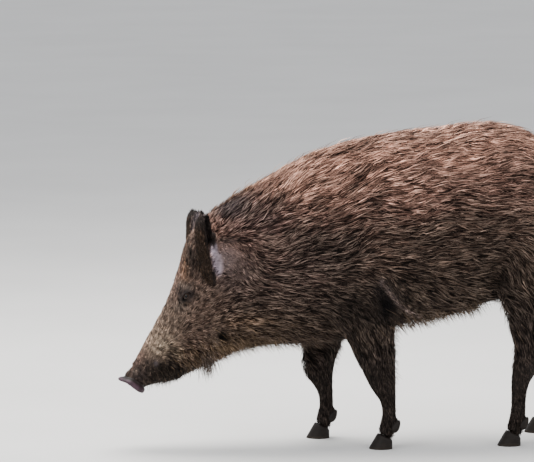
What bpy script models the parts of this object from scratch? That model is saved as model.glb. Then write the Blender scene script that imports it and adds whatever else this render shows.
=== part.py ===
"""A wild boar sow, life size, walking slowly with its head lowered to feed.

Metres, +Z up. The boar faces -X, its left side is -Y, and all four feet stand on Z = 0.
The flesh is modelled whole, out to the tips of the coat: a lofted trunk, neck and head,
four lofted legs and a few muscles, fused and smoothed. Thin cuts then part it where a
person would name its parts. Snout disc, ears, eyes, tail and hooves are pieces of their own.
"""

import math

import bmesh
import bpy
import numpy as np
from mathutils import Matrix, Vector

# ---------------------------------------------------------------- driving dimensions
GAP = 0.0003  # clearance between pieces that meet
RING_POINTS = 36  # points round a lofted ring
RINGS_PER_SPAN = 4  # rings between two ribs
FUSE_VOXEL = 0.0065
FUSE_SMOOTHING = 9
FLESH_TRIANGLES = 3200

FOOT_Y = {"left": -1.0, "right": 1.0}  # side of the body
FORE_FOOT_OUT = 0.092  # feet from the middle plane
HIND_FOOT_OUT = 0.094

EYE_RADIUS = 0.0125
EYE_CENTRE = Vector((-0.3553, 0.0678, 0.3761))  # right eye; the left one mirrors it

DISC_TOP = Vector((-0.5165, 0.0, 0.1720))
DISC_BOTTOM = Vector((-0.4580, 0.0, 0.1345))
DISC_HALF_WIDTH = 0.0385
DISC_THICKNESS = 0.0125
NOSTRIL_OUT, NOSTRIL_RADIUS, NOSTRIL_DEPTH = 0.0150, 0.0068, 0.0080

CORONET_FRONT, CORONET_HEEL = 0.0390, 0.0230  # heights of the hoof's upper edge
CLAW_LENGTH, CLAW_WIDTH, CLAW_CLEFT = 0.0560, 0.0235, 0.0032

# ---------------------------------------------------------------- trunk, neck and head
# Each rib: top of the profile (x, z), bottom (x, z), half width, ridge and keel.
# A ridge or keel of 0.5 is round, more is sharper and less is blunter.
RIBS = [
    ("buttock", (0.606, 0.610), (0.606, 0.500), 0.052, 0.50, 0.50),
    ("tail_root", (0.585, 0.662), (0.588, 0.430), 0.098, 0.50, 0.50),
    ("haunch", (0.548, 0.708), (0.552, 0.375), 0.130, 0.52, 0.50),
    ("croup", (0.490, 0.752), (0.487, 0.345), 0.148, 0.54, 0.52),
    ("loin", (0.415, 0.777), (0.405, 0.350), 0.150, 0.54, 0.50),
    ("flank", (0.350, 0.776), (0.345, 0.326), 0.156, 0.54, 0.46),
    ("belly", (0.270, 0.766), (0.270, 0.309), 0.163, 0.55, 0.45),
    ("ribcage", (0.190, 0.761), (0.200, 0.293), 0.164, 0.56, 0.46),
    ("girth", (0.120, 0.752), (0.133, 0.276), 0.158, 0.58, 0.48),
    ("withers", (0.040, 0.737), (0.060, 0.258), 0.150, 0.62, 0.50),
    ("shoulder", (-0.024, 0.719), (-0.002, 0.247), 0.142, 0.62, 0.50),
    ("brisket", (-0.078, 0.696), (-0.064, 0.248), 0.133, 0.60, 0.50),
    ("neck_base", (-0.135, 0.662), (-0.112, 0.251), 0.124, 0.58, 0.50),
    ("neck", (-0.207, 0.623), (-0.160, 0.249), 0.116, 0.56, 0.50),
    ("throat", (-0.272, 0.584), (-0.200, 0.245), 0.108, 0.54, 0.50),
    ("poll", (-0.322, 0.541), (-0.226, 0.238), 0.101, 0.52, 0.52),
    ("ears", (-0.352, 0.496), (-0.245, 0.229), 0.095, 0.48, 0.55),
    ("brow", (-0.364, 0.447), (-0.265, 0.220), 0.089, 0.44, 0.58),
    ("eyes", (-0.379, 0.400), (-0.284, 0.209), 0.080, 0.44, 0.60),
    ("cheek", (-0.398, 0.355), (-0.304, 0.199), 0.070, 0.46, 0.58),
    ("muzzle_root", (-0.419, 0.315), (-0.325, 0.190), 0.059, 0.46, 0.56),
    ("muzzle", (-0.440, 0.279), (-0.350, 0.178), 0.050, 0.46, 0.54),
    ("canines", (-0.460, 0.243), (-0.383, 0.164), 0.045, 0.46, 0.52),
    ("lips", (-0.476, 0.212), (-0.417, 0.157), 0.039, 0.46, 0.50),
    ("snout", (-0.490, 0.190), (-0.443, 0.150), 0.034, 0.46, 0.50),
    ("snout_end", (-0.5035, 0.1795), (-0.4560, 0.1450), 0.033, 0.46, 0.50),
    ("under_disc", (-0.516, 0.169), (-0.462, 0.134), 0.036, 0.46, 0.50),
]

# Muscles and bones under the skin: centre, radii, and tilt about Y in degrees. Both sides.
MUSCLES = {
    "shoulder_blade": ((0.025, 0.095, 0.465), (0.105, 0.050, 0.140), 14),
    "upper_arm": ((0.045, 0.098, 0.370), (0.098, 0.050, 0.095), -20),
    "thigh": ((0.500, 0.092, 0.470), (0.112, 0.060, 0.165), -8),
    "jowl": ((-0.262, 0.070, 0.318), (0.062, 0.032, 0.070), 35),
    "cheekbone": ((-0.330, 0.062, 0.352), (0.055, 0.022, 0.026), 42),
    "brow_ridge": ((-0.352, 0.050, 0.404), (0.022, 0.017, 0.028), 10),
}

# The lower jaw lies below this line of the lips and cheek (x, z), from the front.
JAW_OUTLINE = [(-0.480, 0.117), (-0.362, 0.240), (-0.235, 0.262), (-0.235, 0.05), (-0.480, 0.05)]

# ---------------------------------------------------------------- legs
# Height, half depth (along X) and half width (along Y) of a leg, from the body down.
FORELEG = [
    (0.470, 0.082, 0.046),
    (0.360, 0.074, 0.050),
    (0.315, 0.067, 0.047),
    (0.264, 0.060, 0.042),
    (0.225, 0.051, 0.037),
    (0.190, 0.044, 0.033),
    (0.155, 0.036, 0.031),
    (0.132, 0.028, 0.027),
    (0.112, 0.0215, 0.0225),
    (0.085, 0.0195, 0.0215),
    (0.062, 0.0215, 0.0245),
    (0.042, 0.0225, 0.0255),
    (0.020, 0.0245, 0.0265),
    (-0.010, 0.0250, 0.0265),
]
HINDLEG = [
    (0.500, 0.112, 0.052),
    (0.420, 0.102, 0.054),
    (0.371, 0.090, 0.050),
    (0.325, 0.075, 0.044),
    (0.281, 0.065, 0.038),
    (0.245, 0.057, 0.033),
    (0.218, 0.051, 0.030),
    (0.192, 0.038, 0.028),
    (0.170, 0.031, 0.026),
    (0.143, 0.0230, 0.0230),
    (0.100, 0.0205, 0.0220),
    (0.062, 0.0220, 0.0245),
    (0.042, 0.0225, 0.0255),
    (0.020, 0.0245, 0.0265),
    (-0.010, 0.0250, 0.0265),
]
# The line that each leg follows: height, X, and distance from the middle plane.
LEG_LINES = {
    "foreleg_left": (FORELEG, "left", [
        (0.470, 0.055, 0.088), (0.360, 0.078, 0.094), (0.315, 0.080, 0.096),
        (0.264, 0.083, 0.097), (0.190, 0.104, 0.096), (0.150, 0.113, 0.095),
        (0.112, 0.127, 0.094), (0.070, 0.129, 0.093), (0.040, 0.121, FORE_FOOT_OUT),
        (0.000, 0.108, FORE_FOOT_OUT)]),
    "foreleg_right": (FORELEG, "right", [
        (0.470, 0.010, 0.088), (0.360, 0.002, 0.094), (0.315, -0.001, 0.096),
        (0.264, -0.002, 0.097), (0.190, -0.010, 0.096), (0.150, -0.008, 0.095),
        (0.112, 0.006, 0.094), (0.070, 0.008, 0.093), (0.040, 0.000, FORE_FOOT_OUT),
        (0.000, -0.014, FORE_FOOT_OUT)]),
    "hindleg_left": (HINDLEG, "left", [
        (0.500, 0.500, 0.082), (0.420, 0.495, 0.090), (0.371, 0.481, 0.094),
        (0.325, 0.485, 0.096), (0.281, 0.485, 0.096), (0.245, 0.487, 0.096),
        (0.218, 0.483, 0.096), (0.192, 0.465, 0.096), (0.170, 0.456, 0.096),
        (0.143, 0.448, 0.095), (0.100, 0.446, 0.095), (0.062, 0.443, HIND_FOOT_OUT),
        (0.040, 0.436, HIND_FOOT_OUT), (0.000, 0.422, HIND_FOOT_OUT)]),
    "hindleg_right": (HINDLEG, "right", [
        (0.500, 0.505, 0.082), (0.420, 0.510, 0.090), (0.371, 0.510, 0.094),
        (0.325, 0.530, 0.096), (0.281, 0.550, 0.096), (0.245, 0.567, 0.096),
        (0.218, 0.572, 0.096), (0.192, 0.560, 0.096), (0.170, 0.554, 0.096),
        (0.143, 0.549, 0.095), (0.100, 0.550, 0.095), (0.062, 0.549, HIND_FOOT_OUT),
        (0.040, 0.542, HIND_FOOT_OUT), (0.000, 0.528, HIND_FOOT_OUT)]),
}
KNEE_CUT = {"foreleg": 0.128, "hindleg": 0.172}  # heights of the cut below knee and hock

# ---------------------------------------------------------------- tail
TAIL_LINE = [
    (0.560, 0.664), (0.590, 0.668), (0.617, 0.640), (0.631, 0.580),
    (0.638, 0.500), (0.640, 0.430), (0.636, 0.375), (0.628, 0.335),
]
TAIL_RADII = [0.020, 0.021, 0.0185, 0.0145, 0.0125, 0.0150, 0.0130, 0.0040]

# ---------------------------------------------------------------- ears
EAR_LENGTH = 0.150  # from the root inside the head to the tip
EAR_HALF_WIDTH = 0.047
EAR_THICKNESS = 0.0075
EAR_ROOT = {"left": Vector((-0.3080, 0.0840, 0.4250)), "right": Vector((-0.3080, 0.0840, 0.4170))}
EAR_UP = {"left": Vector((-0.120, 0.07, 1.0)), "right": Vector((-0.040, 0.02, 1.0))}
EAR_OPENS = Vector((0.93, 0.37, 0.00))  # the way the cup faces; the left ear mirrors it


# ================================================================ helpers
def clear_scene():
    for item in list(bpy.data.objects):
        bpy.data.objects.remove(item, do_unlink=True)


def make_material(name, colour, roughness):
    material = bpy.data.materials.new(name)
    material.use_nodes = True
    shader = material.node_tree.nodes["Principled BSDF"]
    shader.inputs["Base Color"].default_value = (*colour, 1.0)
    shader.inputs["Roughness"].default_value = roughness
    shader.inputs["Metallic"].default_value = 0.0
    return material


def add_object(name, mesh, material=None):
    item = bpy.data.objects.new(name, mesh)
    bpy.context.scene.collection.objects.link(item)
    if material:
        mesh.materials.clear()
        mesh.materials.append(material)
    return item


def to_mesh(work, name="shape"):
    """A mesh from a bmesh, with its faces pointing out."""
    bmesh.ops.recalc_face_normals(work, faces=work.faces)
    mesh = bpy.data.meshes.new(name)
    work.to_mesh(mesh)
    work.free()
    return mesh


def smooth_through(values, count_per_span):
    """Catmull-Rom points through the rows of a table, count_per_span to each span."""
    rows = np.array(values, float)
    padded = np.vstack([2 * rows[0] - rows[1], rows, 2 * rows[-1] - rows[-2]])
    out = []
    for i in range(1, len(padded) - 2):
        a, b, c, d = padded[i - 1 : i + 3]
        for step in range(count_per_span):
            t = step / count_per_span
            out.append(0.5 * (2 * b + (c - a) * t + (2 * a - 5 * b + 4 * c - d) * t**2
                              + (3 * b - a - 3 * c + d) * t**3))
    out.append(rows[-1])
    return np.array(out)


def loft(rings):
    """A closed tube through rings of the same number of points, capped at both ends."""
    work = bmesh.new()
    loops = [[work.verts.new(point) for point in ring] for ring in rings]
    for low, high in zip(loops, loops[1:]):
        count = len(low)
        for i in range(count):
            j = (i + 1) % count
            work.faces.new((low[i], low[j], high[j], high[i]))
    for end in (loops[0], loops[-1]):
        work.faces.new(end)
    return to_mesh(work)


def rib_ring(top, bottom, half_width, ridge, keel):
    """One ring of the trunk: its width grows from the ridge and shrinks to the keel."""
    peak = ridge / (ridge + keel)
    most = peak**ridge * (1 - peak) ** keel
    ring = []
    for i in range(RING_POINTS):
        turn = 2 * math.pi * i / RING_POINTS
        down = (1 - math.cos(turn)) / 2
        wide = half_width * down**ridge * (1 - down) ** keel / most
        x = top[0] + (bottom[0] - top[0]) * down
        z = top[1] + (bottom[1] - top[1]) * down
        ring.append(Vector((x, math.copysign(wide, math.sin(turn)), z)))
    return ring


def trunk_mesh():
    table = [(*top, *bottom, width, ridge, keel) for _, top, bottom, width, ridge, keel in RIBS]
    rows = smooth_through(table, RINGS_PER_SPAN)
    return loft([rib_ring(r[0:2], r[2:4], r[4], r[5], r[6]) for r in rows])


def leg_mesh(name):
    """A leg: level oval rings of its profile, centred on its line."""
    profile, side, line = LEG_LINES[name]
    path = smooth_through(line, RINGS_PER_SPAN)[::-1]
    sizes = smooth_through(profile, RINGS_PER_SPAN)
    rings = []
    for height, depth, width in sizes:
        x = np.interp(height, path[:, 0], path[:, 1])
        y = np.interp(height, path[:, 0], path[:, 2]) * FOOT_Y[side]
        rings.append([
            Vector((x + depth * math.cos(turn), y + width * math.sin(turn), height))
            for turn in np.linspace(0, 2 * math.pi, RING_POINTS, endpoint=False)
        ])
    return loft(rings)


def ellipsoid_mesh(centre, radii, tilt=0.0, segments=24):
    work = bmesh.new()
    place = (Matrix.Translation(centre) @ Matrix.Rotation(math.radians(tilt), 4, "Y")
             @ Matrix.Diagonal((*radii, 1.0)))
    bmesh.ops.create_uvsphere(work, u_segments=segments, v_segments=segments // 2,
                              radius=1.0, matrix=place)
    return to_mesh(work)


def block_mesh(place, size):
    """A box of this size, centred and turned by the matrix place."""
    work = bmesh.new()
    bmesh.ops.create_cube(work, size=1.0, matrix=place @ Matrix.Diagonal((*size, 1.0)))
    return to_mesh(work)


def joined(meshes):
    """Several meshes as one, still overlapping."""
    work = bmesh.new()
    for mesh in meshes:
        work.from_mesh(mesh)
    return to_mesh(work)


def with_modifiers(mesh, *settings):
    """The mesh after a stack of modifiers, each a type and its settings."""
    item = add_object("scratch", mesh)
    for kind, values in settings:
        modifier = item.modifiers.new(kind.lower(), kind)
        for key, value in values.items():
            setattr(modifier, key, value)
    graph = bpy.context.evaluated_depsgraph_get()
    result = bpy.data.meshes.new_from_object(item.evaluated_get(graph))
    bpy.data.objects.remove(item, do_unlink=True)
    return result


def with_cutter(mesh, cutter, operation):
    """The mesh after an exact Boolean with the cutter."""
    tool = add_object("cutter", cutter)
    tool.hide_render = True
    tool.display_type = "WIRE"
    settings = {"operation": operation, "object": tool, "solver": "EXACT"}
    result = with_modifiers(mesh, ("BOOLEAN", settings))
    bpy.data.objects.remove(tool, do_unlink=True)
    return result


def cut(mesh, cutter):
    """The mesh less the cutter."""
    return with_cutter(mesh, cutter, "DIFFERENCE")


def fattened(mesh, by):
    """The mesh with every vertex moved out along its normal."""
    work = bmesh.new()
    work.from_mesh(mesh)
    work.normal_update()
    for vertex, normal in [(v, v.normal.copy()) for v in work.verts]:
        vertex.co += normal * by
    return to_mesh(work)


def biggest(mesh):
    """The connected body of a mesh that has the most faces."""
    work = bmesh.new()
    work.from_mesh(mesh)
    unseen, most = set(work.faces), set()
    while unseen:
        todo = [unseen.pop()]
        body = set(todo)
        while todo:
            for edge in todo.pop().edges:
                for face in edge.link_faces:
                    if face in unseen:
                        unseen.remove(face)
                        body.add(face)
                        todo.append(face)
        if len(body) > len(most):
            most = body
    spare = [face for face in work.faces if face not in most]
    bmesh.ops.delete(work, geom=spare, context="FACES")
    loose = [vertex for vertex in work.verts if not vertex.link_faces]
    bmesh.ops.delete(work, geom=loose, context="VERTS")
    return to_mesh(work)


def part_off(mesh, region):
    """What is left of the mesh outside a region, and what is inside it, a gap apart."""
    outside = biggest(cut(mesh, fattened(region, GAP)))
    inside = biggest(with_cutter(mesh, region, "INTERSECT"))
    return outside, inside


def half_space(point, normal):
    """A block that fills everything on the side of a plane that its normal points to."""
    facing = Vector(normal).normalized()
    turn = facing.to_track_quat("Z", "Y").to_matrix().to_4x4()
    return block_mesh(Matrix.Translation(Vector(point) + facing * 0.5) @ turn, (2.0, 2.0, 1.0))


def prism(outline, half_width):
    """A slab with this outline in X and Z, half_width to each side of the middle plane."""
    return loft([[Vector((x, y, z)) for x, z in outline] for y in (-half_width, half_width)])


def mirrored(mesh):
    """The mesh seen in the middle plane."""
    work = bmesh.new()
    work.from_mesh(mesh)
    bmesh.ops.scale(work, vec=(1, -1, 1), verts=work.verts)
    return to_mesh(work)


# ================================================================ flesh
def flesh_mesh():
    """The whole body as one closed surface, without ears, tail, disc and hooves."""
    shapes = [trunk_mesh()] + [leg_mesh(name) for name in LEG_LINES]
    for centre, radii, tilt in MUSCLES.values():
        for sign in (-1, 1):
            place = (centre[0], sign * centre[1], centre[2])
            shapes.append(ellipsoid_mesh(place, radii, tilt))
    fused = with_modifiers(
        joined(shapes),
        ("REMESH", {"mode": "VOXEL", "voxel_size": FUSE_VOXEL}),
        ("SMOOTH", {"factor": 0.5, "iterations": FUSE_SMOOTHING}),
        ("TRIANGULATE", {}),
    )
    share = FLESH_TRIANGLES / len(fused.polygons)
    return with_modifiers(fused, ("DECIMATE", {"ratio": share}))


def disc_frame():
    """Middle of the snout disc's back, and its axes: across, up the disc, and out."""
    up = (DISC_TOP - DISC_BOTTOM).normalized()
    across = Vector((0, 1, 0))
    return (DISC_TOP + DISC_BOTTOM) / 2, across, up, up.cross(across)


def disc_frame():
    """Middle of the snout disc's face, and its axes: across, up the disc, and out of it."""
    up = (DISC_TOP - DISC_BOTTOM).normalized()
    across = Vector((0, 1, 0))
    return (DISC_TOP + DISC_BOTTOM) / 2, across, up, up.cross(across)


def leg_region(name):
    """A sleeve that holds a leg up to the elbow or the stifle, and nothing of the trunk."""
    profile, side, line = LEG_LINES[name]
    sign = FOOT_Y[side]
    fore = name.startswith("fore")
    top = 0.410 if fore else 0.520
    out, deep = (0.052, 0.100) if fore else (0.058, 0.115)
    path = np.array(line[::-1])
    rings = []
    for share in (0.0, 0.5, 0.75, 0.92, 1.0):
        height = -0.05 + (top + 0.05) * share
        swell = math.sqrt(max(1 - max(share - 0.5, 0) ** 2 / 0.25, 0.01))
        x = np.interp(height, path[:, 0], path[:, 1])
        y = sign * (0.045 + out)
        rings.append([
            Vector((x + deep * swell * math.cos(turn), y + out * swell * math.sin(turn), height))
            for turn in np.linspace(0, 2 * math.pi, 14, endpoint=False)
        ])
    return loft(rings)


# ================================================================ snout, eyes, ears and tail
def disc_mesh():
    """The snout disc: a flat rounded shield with a rolled rim and two nostrils."""
    middle, across, up, out = disc_frame()
    half_height = (DISC_TOP - DISC_BOTTOM).length / 2
    # depth behind the face, and the rim's size at that depth
    rim = [(DISC_THICKNESS, 0.86), (0.0080, 0.97), (0.0035, 1.0), (0.0006, 0.95),
           (0.0003, 0.87), (0.0020, 0.68)]
    rings = []
    for depth, size in rim:
        ring = []
        for turn in np.linspace(0, 2 * math.pi, 20, endpoint=False):
            side, rise = math.cos(turn), math.sin(turn)
            wide = DISC_HALF_WIDTH * size * math.copysign(abs(side) ** 0.85, side)
            high = half_height * size * math.copysign(abs(rise) ** 0.90, rise)
            notch = 0.0030 * math.exp(-(side / 0.30) ** 2) * max(-rise, 0)
            sweep = 0.0045 * side * side * (1 - depth / DISC_THICKNESS)
            ring.append(middle + across * wide + up * (high + notch) - out * (depth + sweep))
        rings.append(ring)
    shield = loft(rings)
    for sign in (-1, 1):
        place = middle + across * NOSTRIL_OUT * sign - up * 0.002 - out * 0.001
        turn = Matrix((across, up, out)).transposed().to_4x4()
        work = bmesh.new()
        bmesh.ops.create_uvsphere(
            work, u_segments=12, v_segments=6, radius=1.0,
            matrix=Matrix.Translation(place) @ turn
            @ Matrix.Diagonal((NOSTRIL_RADIUS, NOSTRIL_RADIUS * 1.15, NOSTRIL_DEPTH, 1.0)))
        shield = cut(shield, to_mesh(work))
    return shield


def ear_mesh(side):
    """A cupped leaf, its rim thin and its root thick."""
    up = EAR_UP[side].normalized()
    opens = (EAR_OPENS - up * EAR_OPENS.dot(up)).normalized()
    across = up.cross(opens)
    # height, half width along the curl, half angle of the curl, lean towards the opening
    shape = [(0.00, 0.040, 92, 0.0), (0.20, 0.045, 90, 0.0), (0.40, 0.046, 86, 0.0),
             (0.60, 0.044, 80, 0.0), (0.78, 0.038, 72, 0.0), (0.90, 0.029, 62, -0.002),
             (0.97, 0.018, 50, -0.004), (1.00, 0.008, 36, -0.005)]
    rings = []
    for share, half, curl, lean in shape:
        thick = EAR_THICKNESS * (1.0 - 0.55 * share)
        bend = math.radians(curl)
        radius = half / bend
        base = EAR_ROOT[side] + up * EAR_LENGTH * share + opens * lean
        inner, outer = [], []
        for u in np.linspace(-1, 1, 7):
            edge = math.sqrt(max(1 - abs(u) ** 4, 0.0)) * 0.8 + 0.2
            turn = bend * u
            ray = across * math.sin(turn) - opens * math.cos(turn)
            inner.append(base + ray * (radius - thick * edge / 2))
            outer.append(base + ray * (radius + thick * edge / 2))
        rings.append(inner + outer[::-1])
    leaf = loft(rings)
    return mirrored(leaf) if side == "left" else leaf


def tail_mesh():
    path = smooth_through([(x, z, r) for (x, z), r in zip(TAIL_LINE, TAIL_RADII)], 2)
    rings = []
    for i, (x, z, radius) in enumerate(path):
        before, after = path[max(i - 1, 0)], path[min(i + 1, len(path) - 1)]
        along = Vector((after[0] - before[0], 0, after[1] - before[1])).normalized()
        across = Vector((0, 1, 0))
        normal = across.cross(along)
        rings.append([
            Vector((x, 0, z)) + (across * math.cos(turn) + normal * math.sin(turn)) * radius
            for turn in np.linspace(0, 2 * math.pi, 10, endpoint=False)
        ])
    return loft(rings)


# ================================================================ feet
def coronet_plane(toe_x):
    """A point on the hoof's upper edge and the way up out of the hoof."""
    front = Vector((toe_x + 0.020, 0, CORONET_FRONT))
    heel = Vector((toe_x + CLAW_LENGTH, 0, CORONET_HEEL))
    along = (heel - front).normalized()
    return front, along.cross(Vector((0, 1, 0)))


def claw_mesh(toe_x, middle_y, side):
    """One of the two main claws: a flat sole, a sloping front wall and a blunt toe."""
    point, normal = coronet_plane(toe_x)
    rings = []
    for share, swell in ((0.0, 1.0), (0.15, 1.03), (0.60, 0.98), (1.0, 0.90)):
        ring = []
        for i in range(10):
            turn = math.pi * i / 9
            ring.append((math.cos(turn), max(math.sin(turn), 0.0) ** 0.75))
        for i in range(1, 3):
            ring.append((-1 + 2 * i / 3, 0.0))
        loop = []
        for fore, outward in ring:
            # the front wall leans back and the heel leans forward as they rise
            toe = toe_x + 0.0225 * share
            heel = toe_x + CLAW_LENGTH * (1 + 0.02 * share)
            x = (toe + heel) / 2 - fore * (heel - toe) / 2
            taper = 1 - 0.35 * max(fore, 0) ** 2
            y = CLAW_CLEFT / 2 + outward * CLAW_WIDTH * swell * taper
            top = point.z + (x - point.x) * -normal.x / normal.z
            loop.append(Vector((x, middle_y + side * y, top * share)))
        rings.append(loop)
    return loft(rings)


def dewclaw_mesh(toe_x, middle_y, side):
    """A small claw hanging behind the pastern."""
    centre = Vector((toe_x + 0.0630, middle_y + side * 0.0165, 0.0560))
    work = bmesh.new()
    place = (Matrix.Translation(centre) @ Matrix.Rotation(math.radians(28), 4, "Y")
             @ Matrix.Diagonal((0.0085, 0.0078, 0.0165, 1.0)))
    bmesh.ops.create_uvsphere(work, u_segments=8, v_segments=5, radius=1.0, matrix=place)
    return to_mesh(work)


# ================================================================ the whole animal
def body_nodes():
    """The flesh, parted into named pieces."""
    nodes = {}
    rest = flesh_mesh()
    for name, (_, side, line) in LEG_LINES.items():
        rest, leg = part_off(rest, leg_region(name))
        kind, hand = name.split("_")
        point = (0, 0, KNEE_CUT[kind])
        upper, lower = part_off(leg, half_space(point, (0, 0, -1)))
        toe_x = line[-1][1] - 0.5 * CLAW_LENGTH
        middle_y = line[-1][2] * FOOT_Y[side]
        point, normal = coronet_plane(toe_x)
        lower = biggest(cut(lower, half_space(point + normal * GAP, -normal)))
        for claw_side, title in ((-1, "left"), (1, "right")):
            nodes[f"hoof_{kind}_{hand}_{title}"] = claw_mesh(toe_x, middle_y, claw_side)
            lower = with_cutter(lower, dewclaw_mesh(toe_x, middle_y, claw_side), "UNION")
        nodes[f"{kind}_upper_{hand}"] = upper
        nodes[f"{kind}_lower_{hand}"] = lower

    middle, _, up, out = disc_frame()
    rest = biggest(cut(rest, half_space(middle - out * (DISC_THICKNESS + GAP), out)))
    nodes["snout_disc"] = disc_mesh()
    rest, head = part_off(rest, half_space((-0.262, 0, 0.420), (-1, 0, -0.42)))
    head, jaw = part_off(head, prism(JAW_OUTLINE, 0.2))
    rest, nodes["neck"] = part_off(rest, half_space((-0.110, 0, 0.460), (-1, 0, -0.15)))
    rest, nodes["chest"] = part_off(rest, half_space((0.175, 0, 0.500), (-1, 0, 0)))
    nodes["rump"], nodes["belly"] = part_off(rest, half_space((0.395, 0, 0.560), (-1, 0, 0)))

    for side, sign in FOOT_Y.items():
        eye = ellipsoid_mesh((EYE_CENTRE.x, sign * EYE_CENTRE.y, EYE_CENTRE.z),
                             (EYE_RADIUS,) * 3, segments=12)
        head = biggest(cut(head, fattened(eye, GAP)))
        nodes[f"eye_{side}"] = eye
    for side in FOOT_Y:
        leaf = ear_mesh(side)
        for base in (head, nodes["neck"]):
            leaf = biggest(cut(leaf, fattened(base, GAP)))
        nodes[f"ear_{side}"] = leaf
    nodes["head"] = head
    nodes["lower_jaw"] = jaw
    nodes["tail"] = biggest(cut(tail_mesh(), fattened(nodes["rump"], GAP)))
    return nodes


def material_of(name):
    for start, slot in (("hoof", "hoof"), ("eye", "eye"), ("snout_disc", "snout")):
        if name.startswith(start):
            return slot
    return "coat"


def main():
    clear_scene()
    materials = {
        "coat": make_material("coat", (0.120, 0.085, 0.068), 0.85),
        "snout": make_material("snout", (0.190, 0.140, 0.140), 0.55),
        "eye": make_material("eye", (0.018, 0.011, 0.008), 0.12),
        "hoof": make_material("hoof", (0.055, 0.045, 0.038), 0.60),
    }
    nodes = body_nodes()
    corners = np.array([vertex.co for mesh in nodes.values() for vertex in mesh.vertices])
    low, high = corners.min(axis=0), corners.max(axis=0)
    shift = Matrix.Translation((-(low[0] + high[0]) / 2, -(low[1] + high[1]) / 2, 0.0))
    for name, mesh in sorted(nodes.items()):
        mesh.transform(shift)
        mesh.polygons.foreach_set("use_smooth", [not name.startswith("hoof")] * len(mesh.polygons))
        add_object(name, mesh, materials[material_of(name)])


main()
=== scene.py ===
import math

import bmesh
import bpy
import numpy as np
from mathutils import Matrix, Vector, kdtree
from mathutils.bvhtree import BVHTree


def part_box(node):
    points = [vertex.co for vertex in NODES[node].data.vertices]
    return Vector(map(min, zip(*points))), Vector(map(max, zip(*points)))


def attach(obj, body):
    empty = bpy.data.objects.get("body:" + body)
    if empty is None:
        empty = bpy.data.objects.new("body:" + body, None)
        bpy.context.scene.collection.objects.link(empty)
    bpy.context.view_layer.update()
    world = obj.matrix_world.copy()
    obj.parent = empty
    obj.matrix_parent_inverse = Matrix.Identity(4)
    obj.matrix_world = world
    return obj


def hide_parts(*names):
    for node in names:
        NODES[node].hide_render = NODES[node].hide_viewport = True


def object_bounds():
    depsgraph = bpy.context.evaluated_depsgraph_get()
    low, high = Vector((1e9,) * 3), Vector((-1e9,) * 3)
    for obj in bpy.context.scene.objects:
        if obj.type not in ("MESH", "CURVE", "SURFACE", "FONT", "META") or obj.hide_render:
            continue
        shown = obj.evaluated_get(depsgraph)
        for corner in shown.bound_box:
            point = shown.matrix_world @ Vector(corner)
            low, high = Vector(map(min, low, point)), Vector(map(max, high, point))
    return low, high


# The looks of a wild boar: one skin over its flesh, a coat of mesh tufts with the same markings,
# loose fringes of hair, and eyes, snout disc, claws and dewclaws of their own. Every size is in
# metres, and every place is a share of the box of a CAD node, from its front, its foot and its left.
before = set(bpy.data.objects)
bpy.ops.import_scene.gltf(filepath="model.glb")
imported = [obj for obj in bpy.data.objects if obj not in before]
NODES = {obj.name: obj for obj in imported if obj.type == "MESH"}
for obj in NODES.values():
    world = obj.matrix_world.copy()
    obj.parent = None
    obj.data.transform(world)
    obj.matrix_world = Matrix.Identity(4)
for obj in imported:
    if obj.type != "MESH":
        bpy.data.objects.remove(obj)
CAD_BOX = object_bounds()
RNG = np.random.default_rng(20)

# ================ driving values
SKIN_VOXEL = 0.0030
SKIN_FACES = 128000
SEAM_FILL = 0.0004  # how far the flesh solids grow to close the thin cuts between them
EYE_HALF_LENGTH, EYE_HALF_HEIGHT = 0.0108, 0.0064
TUFT_PATCH = 0.003  # size of a tuft's patch on its unwrap
PIECE_TRIANGLES = 180000
SHORT = 0.0155  # hair shorter than this is made of straight tufts
ROOT_DEPTH = 0.0010  # how far below the skin a tuft begins
LOCK_SIZE = 2.5  # locks lie this many clumps apart
LOCK_PULL = 0.22  # how far clumps are drawn to their lock
PALE_CLUMPS, PALE_FACTORS = 0.35, (1.5, 0.73)  # pale tips are commoner in this share of clumps
REACH_SLACK = 0.010, 0.002  # how far hair may pass the CAD's box: a share of its size, and metres

SIDES = {"left": -1.0, "right": 1.0}


# ================ small tools
def at(node, fore, up, out=0.5):
    """A point in a node's box: shares of the way from its front, its foot and its left."""
    low, high = (np.array(corner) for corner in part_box(node))
    return mix(low, high, np.array([fore, out, up]))


def mix(one, other, share):
    return one * (1 - share) + other * share


def unit(vectors):
    return vectors / np.maximum(np.linalg.norm(vectors, axis=-1, keepdims=True), 1e-12)


def ramp(value, low, high):
    """0 below low, 1 above high and smooth between."""
    t = np.clip((value - low) / (high - low), 0.0, 1.0)
    return t * t * (3 - 2 * t)


def bell(distance, reach):
    return np.exp(-((distance / reach) ** 2))


def linear(colour):
    """Linear light from display values of 0 to 255."""
    c = np.asarray(colour, float) / 255
    return np.where(c <= 0.04045, c / 12.92, ((c + 0.055) / 1.055) ** 2.4)


def swirl(points, size, seed, waves=7):
    """Smooth noise of about -1 to 1 whose lumps are this size."""
    rng = np.random.default_rng(seed)
    total = np.zeros(len(points))
    for _ in range(waves):
        way = unit(rng.normal(size=3)) * 2 * math.pi / (size * rng.uniform(0.7, 1.5))
        total += np.sin(points @ way + rng.uniform(0, 2 * math.pi))
    return total / math.sqrt(waves)


def dot(a, b):
    return np.einsum("ij,ij->i", a, b)


def along_surface(ways, normals):
    """The ways, flattened onto the surface."""
    return unit(ways - normals * dot(ways, normals)[:, None])


def turned(ways, normals, turn):
    """The ways, turned about the normals."""
    sideways = np.cross(normals, ways)
    return ways * np.cos(turn)[:, None] + sideways * np.sin(turn)[:, None]


def side_gap(points, place):
    """Distance from a place as seen from the side, in X and Z."""
    return np.linalg.norm(points[:, [0, 2]] - place[[0, 2]], axis=1)


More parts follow.
